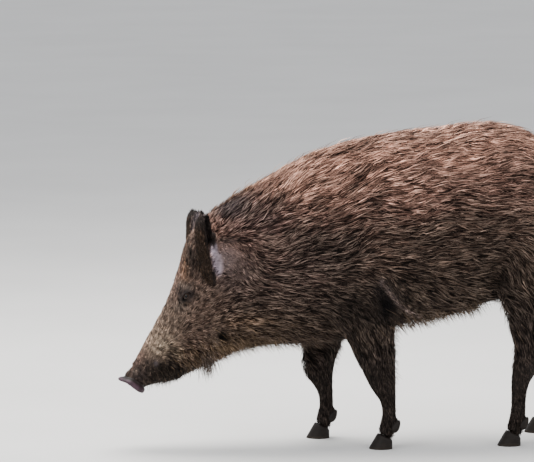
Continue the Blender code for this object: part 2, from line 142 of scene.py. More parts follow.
def oval_gap(points, place, long, tall):
    """Square of the distance from a place seen from the side, 1 on an oval of these reaches."""
    return ((points[:, 0] - place[0]) / long) ** 2 + ((points[:, 2] - place[2]) / tall) ** 2


def ramp_along(points, node, start, end):
    """0 to 1 along X, between two shares of a node's length."""
    return ramp(points[:, 0], *(at(node, share, 0)[0] for share in (start, end)))


def linked(name, data):
    """A new object in the scene."""
    item = bpy.data.objects.new(name, data)
    bpy.context.scene.collection.objects.link(item)
    return item


def mesh_of(work, name):
    """The mesh of a bmesh, which is freed."""
    mesh = bpy.data.meshes.new(name)
    work.to_mesh(mesh)
    work.free()
    return mesh


def smooth_shaded(mesh):
    mesh.polygons.foreach_set("use_smooth", [True] * len(mesh.polygons))
    return mesh


def ball(name, rounds, radius):
    work = bmesh.new()
    bmesh.ops.create_icosphere(work, subdivisions=rounds, radius=radius)
    return smooth_shaded(mesh_of(work, name))


def read(items, field, width, kind=np.float32):
    """A field of all the items, in rows of this width."""
    values = np.empty(len(items) * width, kind)
    items.foreach_get(field, values)
    return values.reshape(-1, width)


def points_of(mesh):
    return read(mesh.vertices, "co", 3).astype(float)


def set_points(mesh, points):
    mesh.vertices.foreach_set("co", np.ascontiguousarray(points, np.float32).ravel())
    mesh.update()


def normals_of(mesh):
    return read(mesh.vertices, "normal", 3).astype(float)


def edges_of(mesh):
    return read(mesh.edges, "vertices", 2, np.int32)


def smoothed(values, edges, rounds, strength):
    """Each value drawn to the mean of its neighbours; strength may differ from point to point."""
    a, b = edges[:, 0], edges[:, 1]
    count = len(values)
    near = np.bincount(a, minlength=count) + np.bincount(b, minlength=count)
    near = np.maximum(near, 1)[:, None]
    values = values.copy()
    for _ in range(rounds):
        mean = np.stack([
            np.bincount(a, values[b, i], count) + np.bincount(b, values[a, i], count)
            for i in range(values.shape[1])
        ], axis=1) / near
        values += (mean - values) * strength
    return values


def store_colour(mesh, values):
    """Keeps a colour for each vertex, which the materials read."""
    rgba = np.ones((len(values), 4), np.float32)
    rgba[:, :3] = values
    mesh.attributes.new("coat", "FLOAT_COLOR", "POINT").data.foreach_set("color", rgba.ravel())


def loft(rings, name):
    """A tube through rings of points, with both ends closed."""
    work = bmesh.new()
    loops = [[work.verts.new(point) for point in ring] for ring in rings]
    for low, high in zip(loops, loops[1:]):
        for i in range(len(low)):
            j = (i + 1) % len(low)
            work.faces.new((low[i], low[j], high[j], high[i]))
    for end in (loops[0], loops[-1]):
        work.faces.new(end)
    bmesh.ops.recalc_face_normals(work, faces=work.faces)
    return smooth_shaded(mesh_of(work, name))


# ================ landmarks
EYE = {side: at(f"eye_{side}", 0.5, 0.5) for side in SIDES}
DISC_LOW, DISC_HIGH = (np.array(corner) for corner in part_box("snout_disc"))
DISC_TOP = np.array([DISC_LOW[0], 0.0, DISC_HIGH[2] - 0.011])
DISC_FOOT = np.array([DISC_HIGH[0], 0.0, DISC_LOW[2] - 0.007])
DISC_MIDDLE = (DISC_TOP + DISC_FOOT) / 2
DISC_SWEEP = 0.0050  # how far the disc's two sides lean back
DISC_BOW = 0.0016  # the lower half stands out and the upper half leans back
EAR_LENGTH = 0.150
EAR_ROOT_OUT = 0.0840  # an ear's root, from the middle plane
# how far back each ear leans for each metre up, and how far its tip is behind its node's front
EAR_SET = {"left": (-0.140, 0.0345), "right": (-0.050, 0.0350)}
MOUTH_LINE = [at("lower_jaw", 0.0, 0.0), at("lower_jaw", 0.36, 0.42), at("lower_jaw", 0.70, 0.80)]
# the fold of skin from behind the shoulder down to the belly, over the elbow
ELBOW_FOLD = [at("chest", 0.75, 0.325), at("chest", 0.83, 0.262), at("chest", 0.93, 0.192),
              at("belly", 0.01, 0.090), at("belly", 0.14, 0.055)]


def eye_radius(side):
    low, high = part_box(f"eye_{side}")
    return (high.x - low.x) / 2


def ear_frame(side):
    """Root, way up, way it opens and way across of an ear."""
    low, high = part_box(f"ear_{side}")
    lean, middle = EAR_SET[side]
    up = unit(np.array([lean, 0.06 * SIDES[side], 1.0]))
    tip = np.array([low.x + middle, 0.0, high.z - 0.003])
    root = tip - up * EAR_LENGTH
    root[1] = SIDES[side] * EAR_ROOT_OUT
    opens = np.array([0.93, 0.37 * SIDES[side], 0.0])
    opens = unit(opens - up * (opens @ up))
    return root, up, opens, np.cross(up, opens)


# ================ the skin
FLESH = [n for n in sorted(NODES) if not n.startswith(("eye", "hoof", "snout", "ear"))]

# Ear, from its root to its tip: share of the height, half width along the curl, half angle of
# the curl, and how far it bows toward its opening.
EAR_SHAPE = np.array([
    (-0.06, 0.020, 118, 0.000), (0.06, 0.030, 120, 0.000), (0.16, 0.042, 119, 0.000),
    (0.32, 0.051, 114, 0.000), (0.52, 0.052, 107, 0.001), (0.70, 0.049, 101, 0.003),
    (0.84, 0.047, 98, 0.004), (0.92, 0.043, 96, 0.006), (0.965, 0.037, 92, 0.008),
    (0.99, 0.027, 84, 0.010)])


def ear_shape(height):
    """Half width, half angle and bow of the ear at a share of its height."""
    return [np.interp(height, EAR_SHAPE[:, 0], EAR_SHAPE[:, i]) for i in (1, 2, 3)]


def ear_leaf(side):
    """A finer ear than the solid: a leaf curled into a funnel that opens backward and out."""
    root, up, opens, across = ear_frame(side)
    rings = []
    for height in np.linspace(EAR_SHAPE[0, 0], EAR_SHAPE[-1, 0], 44):
        half, curl, bow = ear_shape(height)
        thick = 0.0060 - 0.0018 * max(height, 0)
        bend = math.radians(curl)
        radius = half / bend
        base = root + up * EAR_LENGTH * height + opens * bow
        inner, outer = [], []
        for u in np.linspace(-1, 1, 31):
            turn = bend * u
            ray = across * math.sin(turn) - opens * math.cos(turn)
            inner.append(base + ray * (radius - thick / 2))
            outer.append(base + ray * (radius + thick / 2))
        rings.append(inner + outer[::-1])
    return loft(rings, f"ear_{side}_leaf")


def with_modifier(mesh, kind, **settings):
    """The mesh after one modifier. A vertex group of shares may steer it."""
    shares = settings.pop("shares", None)
    item = linked("scratch", mesh)
    if shares is not None:
        group = item.vertex_groups.new(name="shares")
        group.add(np.where(shares)[0].tolist(), 1.0, "REPLACE")
        settings["vertex_group"] = "shares"
    modifier = item.modifiers.new("step", kind)
    for key, value in settings.items():
        setattr(modifier, key, value)
    graph = bpy.context.evaluated_depsgraph_get()
    result = bpy.data.meshes.new_from_object(item.evaluated_get(graph))
    bpy.data.objects.remove(item, do_unlink=True)
    return result


def closed_flesh(leaves):
    """One closed surface round all the flesh solids and both ears."""
    work = bmesh.new()
    for name in FLESH:
        work.from_mesh(NODES[name].data)
    bmesh.ops.remove_doubles(work, verts=work.verts, dist=1e-5)
    work.normal_update()
    for vertex, normal in [(v, v.normal.copy()) for v in work.verts]:
        vertex.co += normal * SEAM_FILL
    for leaf in leaves:
        work.from_mesh(leaf)
    return with_modifier(mesh_of(work, "flesh"), "REMESH", mode="VOXEL", voxel_size=SKIN_VOXEL)


def tree_of(points):
    tree = kdtree.KDTree(len(points))
    for i, point in enumerate(points):
        tree.insert(point, i)
    tree.balance()
    return tree


def ear_share(points):
    """1 on the ears, 0 away from them."""
    share = np.zeros(len(points))
    boxes = np.array([[tuple(corner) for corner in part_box(f"ear_{side}")] for side in SIDES])
    low, high = boxes[:, 0].min(0) - 0.04, boxes[:, 1].max(0) + 0.04
    close = np.all((points > low) & (points < high), axis=1)
    gaps = np.array([LEAVES.find(point)[2] for point in points[close]])
    share[close] = 1 - ramp(gaps, 0.0040, 0.0100)
    return share


def profile_of(points):
    """Along X: the height of the ridge of the back and of the keel, on the middle plane."""
    middle = points[np.abs(points[:, 1]) < 0.012]
    middle = middle[middle[:, 0] < at("rump", 0.97, 0)[0]]
    low, high = middle[:, 0].min(), middle[:, 0].max()
    stations = np.linspace(low + 0.004, high - 0.004, 70)
    rows = []
    for x in stations:
        slab = middle[np.abs(middle[:, 0] - x) < 0.010][:, 2]
        rows.append((x, slab.max(), slab.min()))
    return np.array(rows)


def rise(points):
    """0 at the keel and 1 at the ridge of the back or the bridge of the nose; below 0 on legs."""
    top = np.interp(points[:, 0], PROFILE[:, 0], PROFILE[:, 1])
    foot = np.interp(points[:, 0], PROFILE[:, 0], PROFILE[:, 2])
    return (points[:, 2] - foot) / (top - foot)


def blend_sites(points):
    """For each point, the mean of the values of the coat's sites about it, nearer ones more."""
    total = np.zeros((len(points), len(SITE_ROWS[0][1])))
    weights = np.full(len(points), 1e-12)
    for (place, reach, side), values in SITE_ROWS:
        gap = (points[:, 0] - place[0]) ** 2 + (points[:, 2] - place[2]) ** 2
        weight = np.exp(-gap / reach**2) / reach
        if side:
            weight = weight * ramp(points[:, 1] * side, -0.01, 0.03)
        total += weight[:, None] * np.asarray(values, float)
        weights += weight
    return total / weights[:, None]


def hair_length(points):
    """The length of the coat on the body, in millimetres."""
    return blend_sites(points)[:, 1]


# The coat by site. Place: node, share of its length from the front, share of its height.
# Then: reach of the site (m), lie of the hair (degrees up from straight back along the body),
# length (mm), how far it stands out (degrees), and tufts on a square centimetre.
COAT_SITES = {
    "nose_tip": ("head", 0.10, 0.10, 0.028, 60, 5, 10, 17),
    "snout_side": ("head", 0.20, 0.17, 0.026, 58, 7, 10, 16),
    "bridge": ("head", 0.26, 0.36, 0.032, 63, 8, 10, 16),
    "bridge_top": ("head", 0.40, 0.58, 0.032, 63, 9, 8, 15),
    "lip": ("head", 0.25, 0.09, 0.024, -62, 10, 16, 14),
    "chin": ("head", 0.34, 0.08, 0.026, -76, 20, 16, 13),
    "jaw": ("head", 0.46, 0.13, 0.028, -72, 24, 24, 11),
    "whiskers": ("head", 0.40, 0.23, 0.024, -28, 17, 24, 13),
    "beard": ("head", 0.64, 0.18, 0.024, -68, 44, 34, 11),
    "jaw_rear": ("head", 0.56, 0.22, 0.026, -42, 24, 28, 12),
    "muzzle": ("head", 0.36, 0.34, 0.030, 44, 11, 14, 15),
    "brow": ("head", 0.47, 0.66, 0.026, 66, 9, 12, 15),
    "under_eye": ("head", 0.44, 0.50, 0.022, 58, 9, 12, 15),
    "forehead": ("head", 0.54, 0.84, 0.035, 80, 15, 16, 13),
    "cheek": ("head", 0.58, 0.42, 0.036, 30, 15, 20, 13),
    "cheek_rear": ("head", 0.80, 0.44, 0.040, 8, 20, 20, 12),
    "jowl": ("head", 0.80, 0.24, 0.032, -18, 32, 28, 10.5),
    "temple": ("head", 0.68, 0.64, 0.030, 30, 12, 14, 15),
    "shaded_pit": ("head", 0.685, 0.340, 0.024, -6, 5, 8, 13),
    "poll": ("neck", 0.10, 0.84, 0.030, 52, 22, 18, 11),
    "mane": ("neck", 0.30, 0.82, 0.040, 36, 34, 22, 9.5),
    "crest": ("neck", 0.75, 0.97, 0.050, 30, 42, 18, 8.5),
    "neck_side": ("neck", 0.78, 0.62, 0.060, 18, 36, 15, 9),
    "behind_ear": ("neck", 0.19, 0.54, 0.028, -35, 6, 8, 16),
    "nape_side": ("neck", 0.36, 0.50, 0.034, -50, 12, 10, 14),
    "neck_low": ("neck", 0.62, 0.28, 0.055, 0, 36, 17, 9.5),
    "throat": ("neck", 0.45, 0.02, 0.045, -20, 34, 30, 10),
    "throat_rear": ("neck", 0.85, 0.02, 0.045, -12, 36, 24, 10),
    "withers": ("chest", 0.35, 0.97, 0.070, 20, 46, 14, 8),
    "upper_shoulder": ("chest", 0.40, 0.76, 0.070, 17, 44, 13, 8),
    "shoulder": ("chest", 0.32, 0.52, 0.065, 26, 38, 12, 8.5),
    "low_shoulder": ("chest", 0.25, 0.28, 0.060, 2, 32, 14, 9.5),
    "brisket": ("chest", 0.18, 0.02, 0.050, -10, 34, 22, 10),
    "elbow": ("chest", 0.62, 0.24, 0.050, -22, 26, 13, 10),
    "behind_elbow": ("chest", 1.04, 0.20, 0.040, -30, 28, 12, 10),
    "elbow_fold": ("chest", 0.92, 0.19, 0.032, -44, 9, 7, 14),
    "elbow_hollow": ("chest", 0.80, 0.19, 0.036, -56, 7, 8, 14),
    "fold_top": ("chest", 0.75, 0.29, 0.024, -46, 11, 7, 14),
    "ribs": ("chest", 0.90, 0.56, 0.070, 4, 44, 12, 8),
    "back_front": ("chest", 0.90, 0.93, 0.070, 3, 48, 13, 8),
    "back": ("belly", 0.60, 0.95, 0.080, 2, 50, 13, 8),
    "side": ("belly", 0.55, 0.68, 0.080, 0, 46, 12, 8),
    "flank": ("belly", 0.55, 0.40, 0.070, 3, 42, 12, 8.5),
    "low_flank": ("belly", 0.35, 0.15, 0.050, -30, 42, 20, 9.5),
    "low_flank_rear": ("belly", 0.90, 0.16, 0.050, -12, 42, 20, 9.5),
    "belly_line": ("belly", 0.50, 0.00, 0.050, -10, 40, 26, 9.5),
    "croup": ("rump", 0.35, 0.95, 0.070, -8, 48, 13, 8),
    "rump_top": ("rump", 0.72, 0.84, 0.060, -34, 44, 13, 8),
    "rump_rear": ("rump", 0.98, 0.58, 0.060, -72, 36, 12, 8.5),
    "haunch": ("rump", 0.35, 0.62, 0.060, -10, 42, 12, 8.5),
    "ham": ("rump", 0.62, 0.32, 0.060, -44, 34, 12, 9),
    "flank_fold": ("rump", 0.06, 0.12, 0.040, -18, 38, 22, 10),
    "tail_root": ("tail", 0.40, 0.90, 0.030, -78, 22, 10, 12),
    "tail": ("tail", 0.75, 0.45, 0.045, -90, 22, 10, 13),
    "foreleg_front": ("foreleg_upper", 0.15, 0.62, 0.045, -56, 24, 12, 10.5),
    "foreleg_back": ("foreleg_upper", 0.75, 0.62, 0.045, -74, 24, 14, 10.5),
    "foreleg_shin": ("foreleg_upper", 0.70, 0.15, 0.040, -84, 15, 11, 12.5),
    "pastern": ("foreleg_lower", 0.45, 0.45, 0.045, -88, 11, 11, 14),
    "thigh_front": ("hindleg_upper", 0.15, 0.72, 0.050, -62, 30, 12, 9.5),
    "thigh_back": ("hindleg_upper", 0.65, 0.75, 0.050, -60, 30, 12, 9.5),
    "gaskin": ("hindleg_upper", 0.40, 0.36, 0.045, -74, 22, 12, 10.5),
    "hock": ("hindleg_upper", 0.60, 0.10, 0.035, -72, 15, 11, 12.5),
    "hind_pastern": ("hindleg_lower", 0.45, 0.45, 0.050, -87, 11, 11, 14),
    "coronet": ("foreleg_lower", 0.40, 0.10, 0.022, -86, 15, 24, 15),
    "hind_coronet": ("hindleg_lower", 0.40, 0.10, 0.022, -86, 15, 24, 15),
}


def site_rows():
    """The sites with their places. A site on a leg has a row for each side of the body."""
    rows = []
    for node, fore, up, reach, *values in COAT_SITES.values():
        on_legs = [(f"{node}_{side}", sign) for side, sign in SIDES.items()]
        for name, sign in on_legs if "leg" in node else [(node, 0.0)]:
            rows.append(((at(name, fore, up), reach, sign), values))
    return rows


SITE_ROWS = site_rows()
EAR_HAIR = (9, 12, 22)  # length, how far it stands out and density, as for the sites


def coat_fields(points, normals):
    """Lie, length, lift and density of the coat at points on the skin."""
    lie, length, lift, density = blend_sites(points).T
    lie = np.radians(lie)
    ways = np.stack([np.cos(lie), np.zeros(len(points)), np.sin(lie)], axis=1)
    # hair on a steep face of the body runs down it rather than into it
    ways[:, 2] -= 0.9 * ramp(normals[:, 0], 0.5, 1.0)
    ears = ear_share(points)
    for side, sign in SIDES.items():
        _, up, _, _ = ear_frame(side)
        mine = ears * (points[:, 1] * sign > 0)
        ways = mix(ways, up, mine[:, None])
    length, lift, density = (
        mix(values, on_ears, ears) for values, on_ears in zip((length, lift, density), EAR_HAIR))
    # the tail ends in a tassel of longer hair
    low = ramp(0.42 - points[:, 2], 0.0, 0.06) * tail_share(points)
    length += 26 * low * ramp(0.385 - points[:, 2], 0.0, 0.04)
    ways = along_surface(ways, normals)
    turn = 0.13 * swirl(points, 0.10, 3) + 0.07 * swirl(points, 0.035, 4)
    turn *= 1 - 0.7 * ears
    ways = unit(turned(ways, normals, turn))
    return ways, length / 1000, np.radians(lift), density * 1e4


def tail_share(points):
    """1 on the free tail, 0 in front of it."""
    start = at("tail", 0.62, 0)[0]
    return ramp(points[:, 0], start, start + 0.012)


def coat_depth(points):
    """How far the skin lies inside the solids: most on the back, least on face and feet."""
    depth = np.interp(
        hair_length(points), [5, 10, 16, 30, 50], [0.0012, 0.0022, 0.0038, 0.0080, 0.0115])
    depth *= 1 - ear_share(points)
    return depth * (1 - 0.75 * tail_share(points))


# Brow, the fold under it, bag, and the fold over it: height, place across the eye and along it,
# reach across and along.
LID_FOLDS = (
    (0.0034, 0.0155, -0.001, 0.0065, 0.020), (-0.0016, 0.0100, 0.0, 0.0022, 0.013),
    (0.0012, -0.0125, -0.002, 0.0040, 0.014), (-0.0014, -0.0088, 0.0, 0.0018, 0.010))
# How far the lid stands off the eyeball, from the middle of the opening (0) past its edge (1).
LID_RING = (0.75, 0.98, 1.12, 1.5, 2.0)
LID_RISE = (-0.0040, -0.0012, 0.0016, 0.0022, 0.0012)


def sculpt_eyes(points):
    """Sockets, lids that hug the eyeballs, and the furrow that runs down from the eye."""
    for side, sign in SIDES.items():
        out = unit(np.array([-0.324, sign * 0.931, 0.165]))
        length = unit(np.array([0.78, 0.0, 0.62]))
        length = unit(length - out * (length @ out))
        lid = np.cross(out, length) * -sign
        radius = eye_radius(side)
        offset = points - EYE[side]
        # a runs along the eye's opening, b up across it and c out of the head
        a, b, c = offset @ length, offset @ lid, offset @ out
        near = (np.abs(a) < 0.06) & (np.abs(b) < 0.06) & (c > -0.02)
        a, b, c = a[near], b[near], c[near]
        ring = np.sqrt((a / EYE_HALF_LENGTH) ** 2 + (b / EYE_HALF_HEIGHT) ** 2)
        eyeball = np.sqrt(np.maximum(radius**2 - a**2 - b**2, (0.52 * radius) ** 2))
        rim = eyeball + np.interp(ring, LID_RING, LID_RISE)
        hold = 1 - ramp(ring, 1.35, 2.5)
        target = mix(c, rim, hold)
        for height, high, fore, tall, long in LID_FOLDS:
            target += height * bell(b - high, tall) * bell(a - fore, long)
        # the tear furrow runs down from the front corner
        furrow = bell(b + 0.0015 + 0.16 * (a + 0.012), 0.0022)
        target -= 0.0030 * furrow * bell(a + 0.0190, 0.0085)
        points[near] += (target - c)[:, None] * out
    return points


def distance_to_line(points, corners):
    """Distance in X and Z to a line through corners, and how far along it, 0 to 1."""
    best = np.full(len(points), 9.0)
    share = np.zeros(len(points))
    flat = points[:, [0, 2]]
    count = len(corners) - 1
    for i in range(count):
        start, end = corners[i][[0, 2]], corners[i + 1][[0, 2]]
        step = end - start
        t = np.clip(((flat - start) @ step) / (step @ step), 0, 1)
        gap = np.linalg.norm(flat - start - t[:, None] * step, axis=1)
        closer = gap < best
        best = np.where(closer, gap, best)
        share = np.where(closer, (i + t) / count, share)
    return best, share


def bulge(points, place, height, reach):
    """A round bump, or a hollow where its height is below 0, about a place seen from the side."""
    return height * bell(side_gap(points, place), reach)


def sculpt_face(points, normals):
    """Lips, bump over the canine, wrinkles of the snout, trough of the bridge and a bump behind the jaw.
    """
    head = (points[:, 0] < at("head", 0.95, 0)[0]) & (ear_share(points) < 0.1)
    p, n = points[head], normals[head]
    push = np.zeros(len(p))
    side = ramp(np.abs(n[:, 1]), 0.15, 0.5)
    gap, share = distance_to_line(p, MOUTH_LINE)
    push -= 0.0030 * bell(gap, 0.0026) * side * (1 - ramp(share, 0.85, 1.0))
    push += 0.0022 * bell(gap - 0.0070, 0.0045) * side * (1 - ramp(share, 0.6, 0.95))
    push += bulge(p, at("lower_jaw", 0.10, 0.56), 0.0052, 0.0105) * side
    # wrinkles across the top and sides of the snout, behind the disc
    back = np.linalg.norm(p - DISC_MIDDLE, axis=1)
    folds = np.sin(back * 2 * math.pi / 0.0105 + 1.2 * swirl(p, 0.05, 8))
    push += 0.0011 * folds * bell(back - 0.052, 0.022)
    push -= 0.0042 * bell(back - 0.036, 0.0055) * side
    # the bridge has a soft trough each side of its ridge, below the eyes
    push += bulge(p, at("head", 0.38, 0.44), -0.0040, 0.030) * side
    # a bump behind the corner of the jaw; the dark spot on it is painted shade of a pit
    push += bulge(p, at("head", 0.72, 0.33), 0.0055, 0.0085) * side
    push += 0.0009 * swirl(p, 0.016, 9)
    points[head] += push[:, None] * n
    return points


def sculpt_body(points, normals):
    """The elbow's fold and hollow, the flank's hollow, the shoulder blade and the sinews."""
    side = ramp(np.abs(normals[:, 1]), 0.3, 0.7)
    gap, _ = distance_to_line(points, ELBOW_FOLD)
    push = 0.0140 * bell(gap, 0.010) * side
    # a long hollow in front of the fold, down to the elbow
    hollow = at("chest", 0.835, 0.205)
    away = points[:, [0, 2]] - hollow[[0, 2]]
    along, across = away @ [0.62, -0.78], away @ [0.78, 0.62]
    push -= 0.0300 * bell(np.hypot(along / 0.046, across / 0.021), 1.0) * side
    push += bulge(points, at("rump", 0.02, 0.22), -0.0100, 0.045) * side
    # the shoulder blade
    blade = at("chest", 0.20, 0.55)
    gap = np.linalg.norm((points[:, [0, 2]] - blade[[0, 2]]) / [1.0, 1.6], axis=1)
    push += 0.0050 * bell(gap, 0.050) * side
    for kind in ("foreleg", "hindleg"):
        for name in SIDES:
            low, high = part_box(f"{kind}_lower_{name}")
            band = ramp(points[:, 2], low.z, low.z + 0.02)
            band = band * (1 - ramp(points[:, 2], high.z - 0.01, high.z + 0.03))
            mine = band * (points[:, 1] * SIDES[name] > 0)
            mine = mine * bell(points[:, 0] - (low.x + high.x) / 2, 0.05)
            # the groove between the bone and the sinew behind it
            groove = points[:, 0] - (low.x * 0.42 + high.x * 0.58)
            push -= 0.0016 * bell(groove, 0.0045) * mine * side
    return points + push[:, None] * normals


def refine(mesh, widest, rounds):
    """Splits the faces that lie about the eyes and the snout, in rounds that draw closer."""
    work = bmesh.new()
    work.from_mesh(mesh)
    for reach in [widest * 0.65**i for i in range(rounds)]:
        edges = set()
        for face in work.faces:
            middle = face.calc_center_median()
            for place, scale in REFINED:
                if (middle - place).length < reach * scale:
                    edges.update(face.edges)
                    break
        bmesh.ops.subdivide_edges(work, edges=list(edges), cuts=1, use_grid_fill=True)
        bmesh.ops.triangulate(work, faces=[f for f in work.faces if len(f.verts) > 4])
    return mesh_of(work, "skin")


# Places where the skin is finer, and how far round each
REFINED = [(Vector(EYE[side]), 1.0) for side in SIDES] + [(Vector(DISC_MIDDLE), 1.9)]


def drawn_in(mesh):
    """Evens the flesh out and draws it in by the coat's depth. Gives what can be thinned."""
    edges, points = edges_of(mesh), points_of(mesh)
    ears = ear_share(points)
    points = smoothed(points, edges, 30, (0.5 * (1 - 0.9 * ears))[:, None])
    points = smoothed(points, edges, 3, 0.35)
    set_points(mesh, points)
    normals = smoothed(normals_of(mesh), edges, 4, 0.5)
    points = points - unit(normals) * coat_depth(points)[:, None]
    set_points(mesh, smoothed(points, edges, 2, 0.4))
    return (points[:, 0] > at("head", 0.75, 0)[0]) & (points[:, 2] > 0.20) & (ears < 0.01)


def sculpt(mesh):
    points = smoothed(points_of(mesh), edges_of(mesh), 2, 0.3)
    set_points(mesh, points)
    normals = normals_of(mesh)
    set_points(mesh, sculpt_eyes(sculpt_face(sculpt_body(points, normals), normals)))
    return smooth_shaded(mesh)


leaves = [ear_leaf(side) for side in SIDES]
LEAVES = tree_of(np.concatenate([points_of(leaf) for leaf in leaves]))
flesh = closed_flesh(leaves)
PROFILE = profile_of(points_of(flesh))
trunk = drawn_in(flesh)
kept_share = SKIN_FACES / (2 * len(flesh.polygons))  # each of its faces is two triangles
skin_mesh = with_modifier(flesh, "DECIMATE", ratio=kept_share, shares=trunk, vertex_group_factor=8.0)
skin_mesh = sculpt(refine(skin_mesh, 0.034, 2))


# ================ markings
# Colour of the coat up the body, from the keel to the ridge, in display values.
UP_THE_BODY = [
    (-0.20, (42, 36, 32)), (0.05, (62, 53, 46)), (0.30, (65, 54, 47)), (0.52, (80, 64, 56)),
    (0.70, (130, 100, 89)), (0.88, (172, 132, 115)), (1.05, (190, 152, 134)),
]
# Marks: node, share along, share up, reach along, reach up, colour, strength, how sharp.
MARKS = {
    "face": ("head", 0.46, 0.42, 0.120, 0.160, (100, 82, 72), 0.95, 2.6),
    "forehead": ("head", 0.52, 0.84, 0.040, 0.085, (56, 43, 35), 0.88, 2.8),
    "forehead_rim": ("head", 0.450, 0.80, 0.011, 0.075, (120, 88, 64), 0.60, 2.6),
    "forehead_dark": ("head", 0.505, 0.80, 0.012, 0.034, (34, 28, 25), 0.80, 2.4),
    "bridge": ("head", 0.26, 0.29, 0.038, 0.044, (146, 128, 110), 0.88, 2.2),
    "bridge_top": ("head", 0.35, 0.43, 0.034, 0.044, (112, 97, 84), 0.65, 2.2),
    "upper_lip": ("head", 0.31, 0.265, 0.018, 0.013, (158, 142, 122), 0.65, 1.8),
    "cheek_ridge": ("head", 0.395, 0.225, 0.016, 0.016, (150, 134, 112), 0.75, 2.0),
    "snout": ("head", 0.19, 0.12, 0.040, 0.036, (48, 39, 35), 0.95, 3.0),
    "nose_side": ("head", 0.11, 0.07, 0.022, 0.022, (48, 40, 38), 0.80, 3.0),
    # a light spot on top of the nose: painted highlight
    "nose_top_highlight": ("head", 0.075, 0.115, 0.008, 0.007, (112, 100, 90), 0.60, 2.0),
    # dark in the hollow of the lip: painted shade
    "lip_hollow_shade": ("head", 0.355, 0.215, 0.012, 0.012, (36, 26, 22), 0.85, 2.6),
    "lip_bump": ("head", 0.235, 0.162, 0.0065, 0.0075, (84, 75, 78), 0.80, 2.6),
    # a near black slit at the lip: painted shade in the crevice
    "lip_slit_shade": ("head", 0.268, 0.148, 0.0038, 0.0100, (9, 8, 8), 0.92, 3.0),
    "jaw": ("head", 0.385, 0.10, 0.053, 0.040, (22, 18, 15), 0.95, 3.0),
    "jaw_rear": ("head", 0.58, 0.21, 0.045, 0.030, (76, 62, 50), 0.60, 2.6),
    "beard": ("head", 0.64, 0.18, 0.022, 0.022, (58, 52, 50), 0.75, 2.6),
    "eye_dark": ("head", 0.462, 0.586, 0.022, 0.020, (30, 25, 27), 0.92, 3.0),
    "tear": ("head", 0.438, 0.552, 0.010, 0.010, (14, 11, 11), 0.94, 2.6),
    "tear_low": ("head", 0.415, 0.520, 0.007, 0.010, (18, 15, 15), 0.88, 2.6),
    "eye_bag": ("head", 0.42, 0.505, 0.018, 0.010, (112, 98, 88), 0.60, 2.4),
    # lighter over the eye: partly the brow's tan hair, partly a painted highlight on the upper lid's fold
    "brow": ("head", 0.455, 0.635, 0.016, 0.010, (104, 92, 84), 0.60, 2.4),
    # a near black spot behind the jaw: painted shade of a pit
    "shaded_pit": ("head", 0.725, 0.335, 0.0125, 0.013, (8, 7, 7), 0.98, 4.0),
    # a light crescent beside the pit: painted highlight on its rim
    "pit_rim_highlight": ("head", 0.675, 0.275, 0.007, 0.016, (156, 138, 124), 0.80, 2.4),
    "ear_lobe": ("head", 0.694, 0.772, 0.0125, 0.026, (232, 218, 238), 1.00, 5.0),
    "ear_lobe_top": ("head", 0.668, 0.850, 0.0085, 0.022, (214, 200, 216), 1.00, 5.0),
    "behind_ear": ("neck", 0.19, 0.53, 0.030, 0.034, (126, 111, 110), 0.85, 2.4),
    "nape_side": ("neck", 0.30, 0.47, 0.058, 0.060, (90, 75, 72), 0.75, 2.4),
    # a thin dark line under the edge of the mane: painted shadow where the mane overlaps the neck
    "mane_edge_shadow": ("neck", 0.25, 0.640, 0.046, 0.009, (34, 27, 26), 0.85, 2.4),
    "mane": ("neck", 0.27, 0.82, 0.064, 0.045, (33, 36, 45), 0.95, 3.0),
    "mane_side": ("neck", 0.30, 0.705, 0.050, 0.022, (112, 88, 82), 0.65, 2.2),
    "mane_rear": ("neck", 0.58, 0.77, 0.070, 0.062, (68, 55, 54), 0.85, 2.6),
    "neck": ("neck", 0.75, 0.46, 0.085, 0.100, (80, 65, 60), 0.60, 2.4),
    "throat": ("neck", 0.58, 0.12, 0.100, 0.045, (76, 62, 50), 0.60, 2.4),
    "throat_streak": ("neck", 0.42, 0.17, 0.050, 0.012, (140, 114, 92), 0.40, 2.0),
    "shoulder": ("chest", 0.30, 0.45, 0.110, 0.100, (62, 51, 48), 0.60, 2.4),
    "elbow": ("chest", 0.60, 0.18, 0.080, 0.058, (36, 31, 28), 0.85, 2.6),
    # near black in the hollow in front of the elbow's fold: painted shade
    "elbow_hollow": ("chest", 0.830, 0.200, 0.027, 0.040, (13, 12, 15), 0.94, 2.6),
    "elbow_shade": ("chest", 0.76, 0.290, 0.022, 0.022, (26, 24, 27), 0.80, 2.4),
    # dark in the hollow of the flank at the stifle fold: painted shade
    "flank_hollow_shade": ("rump", 0.04, 0.16, 0.020, 0.045, (24, 20, 18), 0.75, 2.4),
    "haunch": ("rump", 0.50, 0.66, 0.100, 0.120, (90, 70, 62), 0.50, 2.4),
}
BARE = ("lip_bump", "ear_lobe", "ear_lobe_top")
SMALL_MARK = 0.030  # a mark on the head no longer than this stays off the middle of the face
FACE_WAY = np.array([math.cos(math.radians(50)), 0.0, math.sin(math.radians(50))])
SHADES = {
    "fold_highlight": (104, 90, 86), "crest": (168, 124, 88), "legs": (47, 40, 37), "tail": (66, 55, 48),
    "ear": (40, 29, 20), "ear_grey": (112, 104, 110), "ear_dark_and_shade": (30, 24, 23)}


def mark_share(points, mark):
    """How much a mark covers points, 0 to 1."""
    node, fore, high, long, tall, _, strength, sharp = mark
    gap = oval_gap(points, at(node, fore, high), long, tall)
    share = strength * np.exp(-(gap ** (sharp / 2)))
    if node == "head" and long <= SMALL_MARK:
        share = share * ramp(np.abs(points[:, 1]), 0.010, 0.030)
    return share


def paint(colour, shade, share):
    """Draws the colours toward a shade of display values, each by its share."""
    colour += (linear(shade) - colour) * share[:, None]


